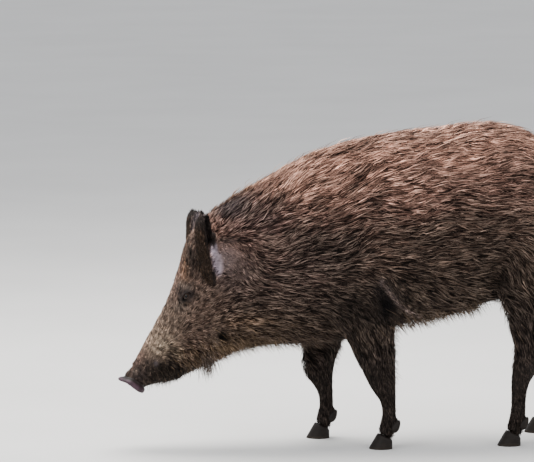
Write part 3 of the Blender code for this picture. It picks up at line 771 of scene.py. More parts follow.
def paint_ear(colour, points, mine, side):
    """Grey on the inner side of the back of the ear, dark on its tip and its rim, and painted shade
    inside it.
    """
    root, way, opens, across = ear_frame(side)
    offset = points - root
    height, depth, wide = offset @ way, offset @ opens, offset @ across
    half, curl, bow = ear_shape(height / EAR_LENGTH)
    depth = depth - bow
    # turn round the curl: 0 at the middle of the back of the ear
    turn = np.degrees(np.arctan2(wide, -depth)) * SIDES[side]
    inside = 1 - ramp(np.hypot(wide, depth) - half / np.radians(curl), -0.0012, 0.0006)
    medial = ramp(-turn, 10, 60) * (1 - ramp(-turn - curl, -38, -18)) * (1 - inside)
    tip = ramp(height, 0.110, 0.142) * (1 - medial)
    rim = ramp(np.abs(turn) - curl, -14, -2) * (1 - medial)
    paint(colour, SHADES["ear_grey"], 0.80 * medial * mine)
    # dark hair on the tip and the rim; inside the funnel the dark is painted shade
    paint(colour, SHADES["ear_dark_and_shade"], np.maximum(np.maximum(0.75 * tip, 0.8 * rim), 0.95 * inside) * mine)


def colour_of(points):
    """The coat's colour at points on the body, with painted light and shade in some places."""
    up = rise(points) + 0.045 * swirl(points, 0.16, 12)
    heights = [row[0] for row in UP_THE_BODY]
    shades = linear([row[1] for row in UP_THE_BODY])
    colour = np.stack([np.interp(up, heights, shades[:, i]) for i in range(3)], axis=1)
    # long dark waves that run across the lie of the hair on the shoulder and the neck: painted shade
    # between overlapping locks
    waves = ramp(swirl(points * [1.0, 1.0, 2.4], 0.085, 13), 0.25, 1.3)
    front = ramp_along(points, "chest", 1.1, 0.5)
    colour *= (1 - (0.14 + 0.36 * front) * waves)[:, None]
    mottling = 0.20 - 0.13 * ramp(up, 0.5, 0.8)
    colour *= (1 + mottling * swirl(points * [1.0, 1.0, 1.5], 0.016, 14).clip(-1.6, 1.6))[:, None]
    # fine dark and light streaks on the face, along the lie of its hair
    along = points @ FACE_WAY
    streaks = swirl(points - FACE_WAY * (0.6 * along)[:, None], 0.0075, 15).clip(-1.8, 1.8)
    face = ramp_along(points, "neck", 0.30, 0.0)
    for mark in MARKS.values():
        paint(colour, mark[5], mark_share(points, mark))
    colour *= np.exp(0.40 * streaks * face)[:, None]
    # a painted highlight along the ridge of the elbow's fold
    gap, _ = distance_to_line(points, ELBOW_FOLD)
    paint(colour, SHADES["fold_highlight"], 0.85 * bell(gap, 0.0050))
    # a tan rim along the crest of the neck
    rim = ramp(rise(points), 0.955, 1.0) * ramp_along(points, "neck", 0.0, 0.2)
    rim *= 1 - ramp_along(points, "chest", 0.1, 0.6)
    paint(colour, SHADES["crest"], 0.8 * rim)
    # legs are near black from the elbow and the stifle down
    keel = np.interp(points[:, 0], PROFILE[:, 0], PROFILE[:, 2])
    legs = ramp(keel + 0.06 - points[:, 2], 0.0, 0.12) * ramp_along(points, "neck", 0.5, 0.9)
    tail = tail_share(points)
    legs *= 1 - tail * ramp(points[:, 2], 0.25, 0.35)
    paint(colour, SHADES["legs"], 0.90 * legs)
    ears = ear_share(points)
    paint(colour, SHADES["ear"], 0.94 * ears)
    for side, sign in SIDES.items():
        paint_ear(colour, points, ears * (points[:, 1] * sign > 0), side)
    paint(colour, SHADES["tail"], 0.8 * tail * ramp(0.66 - points[:, 2], 0, 0.1))
    return np.clip(colour, 0.004, 1.0)


# ================ materials
def add_node(tree, kind, settings=(), **inputs):
    """A node with these settings, and these values on its inputs."""
    node = tree.nodes.new(kind)
    for key, value in dict(settings).items():
        setattr(node, key, value)
    for key, value in inputs.items():
        node.inputs[key.replace("_", " ")].default_value = value
    return node


def new_shader(name, specular, roughness=0.5):
    """A material, its tree and its shader. Roughness holds where no noise is linked to it."""
    material = bpy.data.materials.new(name)
    material.use_nodes = True
    shader = material.node_tree.nodes["Principled BSDF"]
    shader.inputs["Specular IOR Level"].default_value = specular
    shader.inputs["Roughness"].default_value = roughness
    return material, material.node_tree, shader


def noise(tree, scale, detail=3.0, stretch=(1, 1, 1)):
    """A noise texture in the object's own coordinates, stretched."""
    where = add_node(tree, "ShaderNodeTexCoord")
    mapping = add_node(tree, "ShaderNodeMapping", Scale=stretch)
    texture = add_node(tree, "ShaderNodeTexNoise", Scale=scale, Detail=detail, Roughness=0.6)
    tree.links.new(where.outputs["Object"], mapping.inputs["Vector"])
    tree.links.new(mapping.outputs["Vector"], texture.inputs["Vector"])
    return texture.outputs["Fac"]


def spread(tree, value, low, high):
    """A noise, which lies between about 0.3 and 0.7, spread from low to high."""
    node = add_node(tree, "ShaderNodeMapRange", From_Min=0.3, From_Max=0.7, To_Min=low, To_Max=high)
    tree.links.new(value, node.inputs["Value"])
    return node.outputs["Result"]


def shaded(tree, factor):
    """A node that makes a colour darker or lighter by a factor."""
    node = add_node(tree, "ShaderNodeVectorMath", {"operation": "SCALE"})
    tree.links.new(factor, node.inputs["Scale"])
    return node


def tinted(tree, shader, *layers):
    """The stored colour, made darker and lighter by each layer: a noise, its least and most."""
    colour = add_node(tree, "ShaderNodeAttribute", {"attribute_name": "coat"}).outputs["Color"]
    for layer in layers:
        node = shaded(tree, spread(tree, *layer))
        tree.links.new(colour, node.inputs[0])
        colour = node.outputs["Vector"]
    tree.links.new(colour, shader.inputs["Base Color"])


def roughened(tree, shader, value, low, high):
    tree.links.new(spread(tree, value, low, high), shader.inputs["Roughness"])


def bump(tree, shader, height, strength, distance):
    node = add_node(tree, "ShaderNodeBump", Strength=strength, Distance=distance)
    tree.links.new(height, node.inputs["Height"])
    tree.links.new(node.outputs["Normal"], shader.inputs["Normal"])


def coat_material():
    material, tree, shader = new_shader("coat_hair", 0.08)
    grain, patches = noise(tree, 420.0, 2.0, (0.25, 1, 1)), noise(tree, 26.0)
    tinted(tree, shader, (grain, 0.78, 1.22), (patches, 0.86, 1.14))
    roughened(tree, shader, noise(tree, 60.0, 2.0), 0.50, 0.68)
    return material


def skin_material():
    material, tree, shader = new_shader("coat_skin", 0.10, 0.72)
    hair = noise(tree, 300.0, 4.0, (0.20, 1, 1))
    tinted(tree, shader, (hair, 0.60, 1.30))
    bump(tree, shader, hair, 0.7, 0.0015)
    return material


def snout_material():
    material, tree, shader = new_shader("snout_skin", 0.16)
    pores, blotches = noise(tree, 520.0, 4.0), noise(tree, 55.0)
    tinted(tree, shader, (blotches, 0.80, 1.18), (pores, 0.84, 1.12))
    roughened(tree, shader, blotches, 0.36, 0.55)
    bump(tree, shader, pores, 0.55, 0.0010)
    return material


def eye_material():
    material, tree, shader = new_shader("eye_wet", 0.12, 0.10)
    tinted(tree, shader, (noise(tree, 380.0), 0.75, 1.30))
    shader.inputs["Coat Weight"].default_value = 0.10
    shader.inputs["Coat Roughness"].default_value = 0.05
    return material


def hoof_material():
    material, tree, shader = new_shader("hoof_horn", 0.16)
    rings, wear = noise(tree, 90.0, 3.0, (0.6, 0.6, 6.0)), noise(tree, 240.0, 4.0)
    tinted(tree, shader, (rings, 0.72, 1.28), (wear, 0.82, 1.18))
    roughened(tree, shader, wear, 0.46, 0.70)
    bump(tree, shader, rings, 0.45, 0.0012)
    return material


COAT, SKIN, SNOUT = coat_material(), skin_material(), snout_material()
EYE_WET, HORN = eye_material(), hoof_material()


def finish_piece(name, mesh, material, replaced=()):
    """Makes a mesh a piece of the model, in place of the CAD nodes that it replaces."""
    mesh.materials.clear()
    mesh.materials.append(material)
    piece = linked(name, mesh)
    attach(piece, "root")
    if replaced:
        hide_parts(*replaced)


# the skin takes the coat's markings, darker, as hair seen down between the tufts is
points = points_of(skin_mesh)
under = np.interp(hair_length(points), [5, 12, 30], [0.80, 0.62, 0.42])
for name in BARE:
    under += (1 - under) * mark_share(points, MARKS[name])
store_colour(skin_mesh, colour_of(points) * under[:, None])
finish_piece("skin", skin_mesh, SKIN, FLESH + ["ear_left", "ear_right"])


# ================ the coat
class Surface:
    """The skin as triangles that tufts can be planted on."""

    def __init__(self, mesh):
        mesh.calc_loop_triangles()
        self.corners = read(mesh.loop_triangles, "vertices", 3, np.int32)
        self.points = points_of(mesh)
        self.normals = unit(smoothed(normals_of(mesh), edges_of(mesh), 2, 0.5))
        a, b, c = (self.points[self.corners[:, i]] for i in range(3))
        self.areas = np.linalg.norm(np.cross(b - a, c - a), axis=1) / 2
        self.middles = (a + b + c) / 3
        self.tree = BVHTree.FromPolygons(
            [tuple(p) for p in self.points], [tuple(t) for t in self.corners.tolist()])

    def plant(self, density):
        """Random roots, this many to the square metre: places, normals, triangles and weights."""
        share = self.areas * density
        count = int(share.sum())
        ladder = np.cumsum(share) / share.sum()
        steps = (np.arange(count) + RNG.random(count)) / count
        picked = np.minimum(np.searchsorted(ladder, steps), len(share) - 1)
        u, v = RNG.random(count), RNG.random(count)
        over = u + v > 1
        u[over], v[over] = 1 - u[over], 1 - v[over]
        weights = np.stack([1 - u - v, u, v], axis=1)
        corners = self.corners[picked]
        places = (self.points[corners] * weights[:, :, None]).sum(1)
        normals = unit((self.normals[corners] * weights[:, :, None]).sum(1))
        return places, normals, picked, weights


def nearest(places, others):
    """For each place, the number of the nearest of the others."""
    tree = tree_of(others)
    return np.array([tree.find(point)[1] for point in places])


def heights_over(surface, tips):
    """How far each tip stands off the skin."""
    lifts = np.empty(len(tips))
    for i, tip in enumerate(tips):
        hit, normal, _, _ = surface.tree.find_nearest(Vector(tip))
        lifts[i] = (Vector(tip) - hit).dot(normal)
    return lifts


def clump_spacing(points):
    """Distance between clumps: wider apart where the hair is longer."""
    return np.interp(hair_length(points), [5, 10, 20, 45], [0.0042, 0.0052, 0.0070, 0.0088])


class Clumps:
    """Places that tufts are drawn to, in two sizes: clumps, and the locks that clumps form."""

    def __init__(self, surface):
        spacing = clump_spacing(surface.middles)
        self.places = surface.plant(1 / spacing**2)[0]
        locks = surface.plant(1 / (LOCK_SIZE * spacing) ** 2)[0]
        lock = nearest(self.places, locks)
        self.targets = self.places + LOCK_PULL * (locks[lock] - self.places)
        self.spacing = clump_spacing(self.places)
        count, many = len(self.places), len(locks)
        self.turn = RNG.normal(0, 0.075, count) + RNG.normal(0, 0.070, many)[lock]
        self.wave = RNG.normal(0, 0.050, count) + RNG.normal(0, 0.045, many)[lock]
        self.tone = np.exp(RNG.normal(0, 0.35, count) + RNG.normal(0, 0.14, many)[lock])
        self.lift = np.exp(RNG.normal(0, 0.12, count) + RNG.normal(0, 0.12, many)[lock])
        self.tipped = np.where(RNG.random(count) < PALE_CLUMPS, *PALE_FACTORS)


def kept_in_reach(levels):
    """Shortens the tufts that would pass the reach of the whole body by more than a little."""
    low, high = (np.array(corner) for corner in CAD_BOX)
    slack = REACH_SLACK[0] * (high - low) + REACH_SLACK[1]
    start = levels[:, :1]
    step = levels - start
    room = np.where(step > 0, high + slack - start, low - slack - start)
    moved = np.abs(step) > 1e-6
    share = np.where(moved, room / np.where(moved, step, 1.0), 1.0)
    share = np.clip(share, 0.15, 1.0).min(axis=(1, 2))
    return start + step * share[:, None, None]


def tufts(surface, roots, normals, ways, lengths, lifts, clumps, pull):
    """The three levels of each tuft: root, bend and tip, and its clump and place in it."""
    count = len(roots)
    mine = nearest(roots, clumps.places)
    away = np.linalg.norm(clumps.places[mine] - roots, axis=1) / clumps.spacing[mine]
    drawn = clumps.targets[mine] - roots
    drawn -= ways * (dot(drawn, ways) * 0.8)[:, None]
    drawn -= normals * dot(drawn, normals)[:, None]
    size = np.linalg.norm(drawn, axis=1)
    drawn *= np.minimum(1, 0.5 * lengths / np.maximum(size, 1e-6))[:, None]
    turn = clumps.turn[mine] + RNG.normal(0, 0.08, count)
    ways = unit(turned(ways, normals, turn))
    lifts = lifts * RNG.uniform(0.75, 1.20, count) * clumps.lift[mine]
    lifts = lifts * (1 - 0.30 * ramp(away, 0.3, 0.7))
    tips = roots + ways * (lengths * np.cos(lifts))[:, None] + drawn * pull[:, None]
    high = lengths * np.sin(lifts) * 0.80
    off = heights_over(surface, tips)
    tips = tips + normals * np.clip(high - off, -0.30 * lengths, 0.50 * lengths)[:, None]
    bends = roots * 0.5 + tips * 0.5 - drawn * (0.20 * pull)[:, None]
    bends += normals * (0.30 * high + 0.06 * np.abs(np.clip(off, -0.01, 0.01)))[:, None]
    wave = (clumps.wave[mine] + RNG.normal(0, 0.03, count)) * lengths
    bends += np.cross(normals, ways) * wave[:, None]
    starts = roots - normals * ROOT_DEPTH
    return kept_in_reach(np.stack([starts, bends, tips], axis=1)), mine, away


def strips(low, high):
    """Corners of three strips side by side on a tuft's patch, from one height to another."""
    corners = []
    for k in range(3):
        left, right = k / 3, (k + 1) / 3
        if high < 1:
            corners += [(left, low), (right, low), (right, high), (left, high)]
        else:
            corners += [(left, low), (right, low), ((left + right) / 2, high)]
    return corners


CAP_PATCH = [(0.1, 0.0), (0.9, 0.0), (0.5, 0.2)]
BENT = {
    "faces": [[0, 1, 4, 3], [1, 2, 5, 4], [2, 0, 3, 5], [3, 4, 6], [4, 5, 6], [5, 3, 6], [2, 1, 0]],
    "patch": strips(0, 0.5) + strips(0.5, 1) + CAP_PATCH, "rings": 2, "triangles": 10}
STRAIGHT = {
    "faces": [[0, 1, 3], [1, 2, 3], [2, 0, 3], [2, 1, 0]],
    "patch": strips(0, 1) + CAP_PATCH, "rings": 1, "triangles": 4}


def tuft_mesh(name, form, levels, normals, widths, colours, cells):
    """Closed three-sided blades, with a colour for each level and a patch each to bake on."""
    count, rings = len(levels), form["rings"]
    verts = np.empty((count, 3 * rings + 1, 3))
    shades = np.empty((count, 3 * rings + 1, 3))
    for ring in range(rings):
        forward = unit(levels[:, ring + 1] - levels[:, max(ring - 1, 0)])
        side = unit(np.cross(forward, normals))
        top = np.cross(side, forward)
        width = widths * (1.0 if ring or rings == 1 else 0.75)
        half = side * (width / 2)[:, None]
        for k, offset in enumerate((-half, half, top * (width * 0.42)[:, None])):
            verts[:, 3 * ring + k] = levels[:, ring] + offset
            shades[:, 3 * ring + k] = colours[:, ring]
    verts[:, -1] = levels[:, -1]
    shades[:, -1] = colours[:, -1]
    sizes = np.array([len(face) for face in form["faces"]])
    loops = np.concatenate(form["faces"])
    mesh = bpy.data.meshes.new(name)
    mesh.vertices.add(count * verts.shape[1])
    mesh.loops.add(count * len(loops))
    mesh.polygons.add(count * len(sizes))
    mesh.vertices.foreach_set("co", verts.astype(np.float32).ravel())
    first = (np.arange(count) * verts.shape[1])[:, None]
    mesh.loops.foreach_set("vertex_index", (first + loops).astype(np.int32).ravel())
    begin = (np.arange(count) * len(loops))[:, None] + np.cumsum(sizes) - sizes
    mesh.polygons.foreach_set("loop_start", begin.astype(np.int32).ravel())
    uv = cells[:, None, :] + np.array(form["patch"])[None] * TUFT_PATCH * 0.96
    mesh.uv_layers.new(name="OFBake").data.foreach_set("uv", uv.astype(np.float32).ravel())
    mesh.update(calc_edges=True)
    mesh.validate()
    store_colour(mesh, shades.reshape(-1, 3))
    return smooth_shaded(mesh)


def unwrap(mesh, name):
    """Flat places for the corners of the mesh's triangles, on an unwrap of its own shape."""
    copy = mesh.copy()
    item = linked(name, copy)
    bpy.context.view_layer.objects.active = item
    for other in bpy.context.selected_objects:
        other.select_set(False)
    item.select_set(True)
    bpy.ops.object.mode_set(mode="EDIT")
    bpy.ops.mesh.select_all(action="SELECT")
    bpy.ops.uv.smart_project(angle_limit=math.radians(70), island_margin=0.004)
    bpy.ops.object.mode_set(mode="OBJECT")
    uv = read(copy.uv_layers.active.data, "uv", 2)
    copy.calc_loop_triangles()
    loops = read(copy.loop_triangles, "loops", 3, np.int32)
    bpy.data.objects.remove(item, do_unlink=True)
    return uv[loops]


def free_cells(places):
    """A square of its own for each tuft, as near its place on the unwrap as is free."""
    low, high = places.min(0), places.max(0)
    spread_out = (places - low) / (high - low)
    across = int(1 / TUFT_PATCH)
    cells = np.minimum((spread_out * across).astype(int), across - 1)
    rng = np.random.default_rng(5)
    taken = np.zeros(across * across, bool)
    result = np.full(len(cells), -1)
    waiting = np.arange(len(cells))
    for reach in range(0, 60):
        trial = cells[waiting] + rng.integers(-reach, reach + 1, (len(waiting), 2))
        trial = np.clip(trial, 0, across - 1)
        index = trial[:, 1] * across + trial[:, 0]
        _, first = np.unique(index, return_index=True)
        won = np.zeros(len(waiting), bool)
        won[first] = True
        won &= ~taken[index]
        result[waiting[won]] = index[won]
        taken[index[won]] = True
        waiting = waiting[~won]
        if not len(waiting):
            break
    spare = np.where(~taken)[0][: len(waiting)]
    result[waiting] = spare
    return np.stack([result % across, result // across], axis=1) * TUFT_PATCH


PALE = linear((214, 190, 171))
LIGHT_TINT, DARK_TINT = np.array([1.01, 0.99, 0.97]), np.array([1.05, 0.96, 0.95])
TONE_SPREAD = 0.46  # how much the tone differs from tuft to tuft
DARK_SHARE, DARK_TONE = 0.42, 0.14  # how many tufts without a pale tip are dark, and how dark
ROOT_TONE, TIP_TONE = 0.18, 1.1
BRIGHTEST_CLUMP = 2.3


def tuft_colours(places, tone, tipped_share):
    """Root, middle and tip of each tuft: dark at the skin, and many with a pale tip."""
    count = len(places)
    base = colour_of(places)
    tone = tone * np.exp(RNG.normal(0, TONE_SPREAD, count))
    tipped = RNG.random(count) < tipped_share
    dark = ~tipped & (RNG.random(count) < DARK_SHARE)
    tone = np.where(dark, tone * DARK_TONE, tone)
    # light hair is greyer and dark hair redder
    light = ramp(np.log(tone), -0.9, 0.7)[:, None]
    base = base * mix(DARK_TINT, LIGHT_TINT, light)
    middle = base * tone[:, None]
    paler = 0.13 * ramp(base.mean(1), 0.014, 0.034) + base.mean(1) * 3.0
    pale = base * 1.4 + PALE * paler.clip(0, 0.28)[:, None]
    pale = pale * (tone**0.4)[:, None]
    tip = np.where(tipped[:, None], pale, middle * TIP_TONE)
    middle = np.where(tipped[:, None], middle * 0.6 + pale * 0.4, middle)
    return np.stack([base * (ROOT_TONE * tone)[:, None], middle, tip], axis=1)


def hairless(places):
    """0 on the eye's opening, the bare rim behind the snout disc and the ear's bare lobe."""
    share = np.ones(len(places))
    for side in SIDES:
        share *= ramp(np.linalg.norm(places - EYE[side], axis=1), 0.0145, 0.0175)
    share *= ramp(np.linalg.norm(places - DISC_MIDDLE, axis=1), 0.031, 0.046)
    for name in BARE:
        share *= 1 - ramp(mark_share(places, MARKS[name]), 0.35, 0.75)
    return share


def grow(surface, clumps, wanted, share, tipped_share, reach=1.0, width=1.0, lift=1.0):
    """One population of tufts, over the skin where the hair's length is in the wanted range."""
    sites = unit(surface.normals[surface.corners].mean(1))
    _, length, _, density = coat_fields(surface.middles, sites)
    density = density * hairless(surface.middles) * share
    density *= (length >= wanted[0]) & (length < wanted[1])
    roots, normals, picked, weights = surface.plant(density)
    ways, lengths, lifts, _ = coat_fields(roots, normals)
    lengths = lengths * reach * RNG.uniform(0.70, 1.25, len(roots))
    pull = np.interp(lengths, [0.006, 0.015, 0.045], [0.30, 0.48, 0.55])
    widths = np.interp(lengths, [0.006, 0.020, 0.050], [0.0014, 0.0017, 0.0021])
    widths = widths * width * RNG.uniform(0.7, 1.3, len(roots))
    levels, mine, away = tufts(surface, roots, normals, ways, lengths, lifts * lift, clumps, pull)
    contrast = np.interp(lengths, [0.006, 0.020], [2.8, 1.40])
    tone = (clumps.tone[mine] ** contrast).clip(0, BRIGHTEST_CLUMP)
    # tufts far from the middle of their clump are darker: painted shade in the gaps between clumps
    tone = tone * (1.12 - 0.62 * ramp(away, 0.25, 0.72))
    # a tuft takes its colour from a place a little short of its middle
    seen = roots * 0.55 + levels[:, 2] * 0.45
    colours = tuft_colours(seen, tone, tipped_share * clumps.tipped[mine])
    return roots, normals, picked, weights, levels, widths, colours


def plant_coat(name, form, crops, flat):
    """The tufts as pieces: each has tufts all over one side of the body."""
    roots, normals, picked, weights, levels, widths, colours = (
        np.concatenate(parts) for parts in zip(*crops))
    if form is STRAIGHT:
        levels, colours = levels[:, [0, 2]], colours[:, [1, 2]] * [[0.6], [1.0]]
    places = (flat[picked] * weights[:, :, None]).sum(1)
    most = PIECE_TRIANGLES // form["triangles"]
    for side, sign in SIDES.items():
        on_side = np.where(roots[:, 1] * sign >= 0)[0]
        RNG.shuffle(on_side)
        shares = np.array_split(on_side, math.ceil(len(on_side) / most))
        for number, chosen in enumerate(shares):
            mesh = tuft_mesh(f"{name}_{side}_{number + 1}", form, levels[chosen], normals[chosen],
                             widths[chosen], colours[chosen], free_cells(places[chosen]))
            finish_piece(mesh.name, mesh, COAT)


surface = Surface(skin_mesh)
clumps = Clumps(surface)
flat = unwrap(skin_mesh, "flat_skin")
long_hair, short_hair = (SHORT, 1.0), (0.0, SHORT)
under_coat = grow(surface, clumps, long_hair, 0.92, 0.26)
guard_hair = grow(surface, clumps, long_hair, 0.10, 0.50, reach=1.30, width=0.7, lift=1.3)
plant_coat("coat", BENT, [under_coat, guard_hair], flat)
plant_coat("short_coat", STRAIGHT, [grow(surface, clumps, short_hair, 1.45, 0.26)], flat)


# ================ loose hair
# Loose hair that hangs or stands free. Place: node, shares along and up, reach along and up.
# Then: number on each side, way it points (x, outward, z), length (mm), spread of the way,
# width (mm), colour.
FRINGES = {
    "beard": ("head", 0.64, 0.19, 0.014, 0.022, 150, (0.12, 0.05, -1), 48, 0.17, 0.8, (74, 64, 58)),
    "chin": ("head", 0.38, 0.08, 0.050, 0.020, 300, (0.2, 0.2, -1), 15, 0.28, 0.9, (48, 41, 35)),
    "jaw": ("head", 0.58, 0.20, 0.050, 0.022, 260, (0.5, 0.2, -1), 22, 0.30, 1.0, (88, 72, 57)),
    "jowl": ("head", 0.80, 0.26, 0.045, 0.030, 300, (0.85, 0.3, -0.6), 30, 0.30, 1.0, (100, 82, 64)),
    "throat": ("neck", 0.45, 0.05, 0.070, 0.025, 420, (0.85, 0.15, -0.7), 38, 0.24, 1.1, (84, 69, 55)),
    "throat_rear": ("neck", 0.90, 0.05, 0.060, 0.025, 260, (0.9, 0.1, -0.55), 38, 0.22, 1.3,
                    (70, 58, 50)),
    "elbow": ("foreleg_upper", 0.90, 0.50, 0.020, 0.055, 170, (0.7, 0.15, -0.75), 26, 0.25, 0.9,
              (58, 49, 44)),
    "behind_elbow": ("chest", 1.06, 0.08, 0.040, 0.025, 130, (0.9, 0.1, -0.45), 26, 0.24, 0.9,
                     (64, 54, 47)),
    "belly": ("belly", 0.50, 0.03, 0.090, 0.025, 420, (0.8, 0.05, -0.62), 36, 0.22, 1.3, (84, 70, 58)),
    "belly_rear": ("belly", 0.72, 0.10, 0.022, 0.030, 110, (0.55, 0.05, -0.85), 38, 0.14, 1.1,
                   (74, 62, 51)),
    # black tufts that darken the same spot: painted shade of the pit behind the jaw
    "shaded_pit": ("head", 0.722, 0.338, 0.0055, 0.0055, 90, (0.2, 1, 0), 15, 0.22, 1.5, (7, 6, 6)),
    "whiskers": ("head", 0.22, 0.13, 0.025, 0.022, 36, (0.2, 0.85, -0.35), 34, 0.30, 0.55, (70, 58, 50)),
    "brow": ("head", 0.47, 0.63, 0.012, 0.008, 14, (-0.1, 0.85, 0.3), 13, 0.25, 0.5, (40, 33, 30)),
    "lashes": ("head", 0.472, 0.588, 0.008, 0.004, 46, (-0.15, 0.95, 0.05), 9, 0.28, 0.55, (30, 25, 23)),
    "knee": ("foreleg_upper", 0.80, 0.18, 0.014, 0.045, 160, (0.6, 0.1, -0.85), 18, 0.22, 0.9,
             (52, 44, 40)),
    "hock": ("hindleg_upper", 0.75, 0.20, 0.020, 0.050, 200, (0.65, 0.1, -0.8), 22, 0.22, 1.0,
             (54, 46, 42)),
    "coronet": ("foreleg_lower", 0.42, 0.05, 0.026, 0.010, 150, (-0.25, 0.25, -1), 11, 0.22, 0.9,
                (50, 42, 38)),
    "hind_coronet": ("hindleg_lower", 0.32, 0.04, 0.026, 0.010, 150, (-0.25, 0.25, -1), 11, 0.22, 0.9,
                     (50, 42, 38)),
    "stifle": ("hindleg_upper", 0.10, 0.55, 0.016, 0.050, 160, (-0.15, 0.1, -1), 30, 0.22, 1.1,
               (60, 50, 45)),
    "tassel": ("tail", 0.86, 0.10, 0.016, 0.045, 520, (0.1, 0, -1), 74, 0.10, 1.8, (52, 44, 40)),
}


def fringe(surface, node, spec, sign):
    """Tufts that leave the skin about a place and hang free, bending over by their own weight."""
    fore, up, long, tall, count, way, length, loose, width, shade = spec
    middles = surface.middles
    share = np.exp(-oval_gap(middles, at(node, fore, up), long, tall)) * (middles[:, 1] * sign >= 0)
    if "leg" in node:
        low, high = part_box(node)
        share *= (middles[:, 1] > low.y - 0.01) & (middles[:, 1] < high.y + 0.01)
    share *= hairless(middles)
    density = share * count / (share * surface.areas).sum()
    roots, normals, picked, weights = surface.plant(density)
    count = len(roots)
    ways = np.array([way[0], way[1] * sign, way[2]]) + RNG.normal(0, loose, (count, 3))
    ways = unit(unit(ways) + 0.25 * normals)
    inward = np.minimum(dot(ways, normals), 0.10) - 0.10
    ways = unit(ways - normals * inward[:, None])
    lengths = length / 1000 * RNG.uniform(0.55, 1.15, count)
    tips = roots + ways * lengths[:, None] - np.array([0, 0, 0.12]) * lengths[:, None]
    bends = roots + (tips - roots) * 0.5 + normals * (0.06 * lengths)[:, None]
    starts = roots - normals * ROOT_DEPTH
    widths = width / 1000 * RNG.uniform(0.7, 1.3, count)
    tone = np.exp(RNG.normal(0, 0.55, count))[:, None]
    colour = linear(shade) * tone
    colours = np.stack([colour * 0.45, colour, colour * 1.35], axis=1)
    levels = kept_in_reach(np.stack([starts, bends, tips], axis=1))
    return roots, normals, picked, weights, levels, widths, colours


def fringes(surface):
    crops = []
    for node, *spec in FRINGES.values():
        for side, sign in SIDES.items():
            name = f"{node}_{side}" if "leg" in node else node
            crops.append(fringe(surface, name, spec, sign))
    return crops


plant_coat("fringe", BENT, fringes(surface), flat)


# ================ eyes
WHITE, IRIS, PUPIL = linear((28, 21, 19)), linear((33, 20, 13)), linear((4, 4, 4))


def eye_piece(side):
    """An eyeball with a bulging cornea, a brown iris and a wide dark pupil."""
    radius = eye_radius(side)
    gaze = unit(np.array([-0.42, 0.90 * SIDES[side], 0.06]))
    mesh = ball(f"eye_{side}", 5, radius)
    ways = unit(points_of(mesh))
    angle = np.arccos(np.clip(ways @ gaze, -1, 1))
    bulge = 0.985 + 0.030 * bell(angle, 0.55)
    set_points(mesh, ways * (radius * bulge)[:, None] + EYE[side])
    colour = mix(IRIS, WHITE, ramp(angle, 0.62, 0.74)[:, None])
    colour = mix(colour, PUPIL, (1 - ramp(angle, 0.26, 0.34))[:, None])
    rim = bell(angle - 0.66, 0.06)[:, None]
    store_colour(mesh, colour * (1 - 0.7 * rim))
    finish_piece(f"eyeball_{side}", mesh, EYE_WET, [f"eye_{side}"])


for side in SIDES:
    eye_piece(side)


# ================ snout disc
# Share of the radius and depth behind the face, from the back round the rim to the middle.
DISC_SECTION = [
    (0.72, 0.0165), (0.74, 0.0135), (0.79, 0.0108), (0.87, 0.0084), (0.945, 0.0066),
    (0.985, 0.0048), (1.0, 0.0029), (0.99, 0.0011), (0.955, -0.0002), (0.90, -0.0002),
    (0.85, 0.0008), (0.78, 0.0018)] + [(share, 0.0022) for share in np.linspace(0.72, 0.03, 26)]
DISC_SQUARE = 0.85, 0.90  # powers below 1 that square the oval, across and up
DISC_NOTCH, DISC_CHIN = 0.0030, 0.0060  # the notch in its foot, and how much fuller its foot is
NOSTRIL_OUT, NOSTRIL_DOWN = 0.0150, 0.0020
NOSTRIL_WIDE, NOSTRIL_TALL, NOSTRIL_DEEP = 0.0060, 0.0072, 0.0085
ACROSS = np.array([0.0, 1.0, 0.0])


def disc_bulk(share_up):
    """How thick the disc is: thin at its top and full at its foot."""
    return 0.78 + 0.48 * np.clip(1 - share_up, 0, 2)


def disc_point(turn, size, depth, wide, half, up, out):
    """A point of the disc's section at this share of its radius, this far round its rim."""
    side, high = math.cos(turn), math.sin(turn)
    below = max(-high, 0) * size
    x = wide * size * math.copysign(abs(side) ** DISC_SQUARE[0], side)
    z = half * size * math.copysign(abs(high) ** DISC_SQUARE[1], high)
    notch = DISC_NOTCH * math.exp(-((side / 0.30) ** 2)) * max(-high, 0) * size
    sweep = DISC_SWEEP * side * side * size
    thick = depth * disc_bulk(z / half) + DISC_CHIN * below**2
    bow = DISC_BOW * math.sin(math.pi * z / half)
    return DISC_MIDDLE + ACROSS * x + up * (z + notch) - out * (thick + sweep + bow)


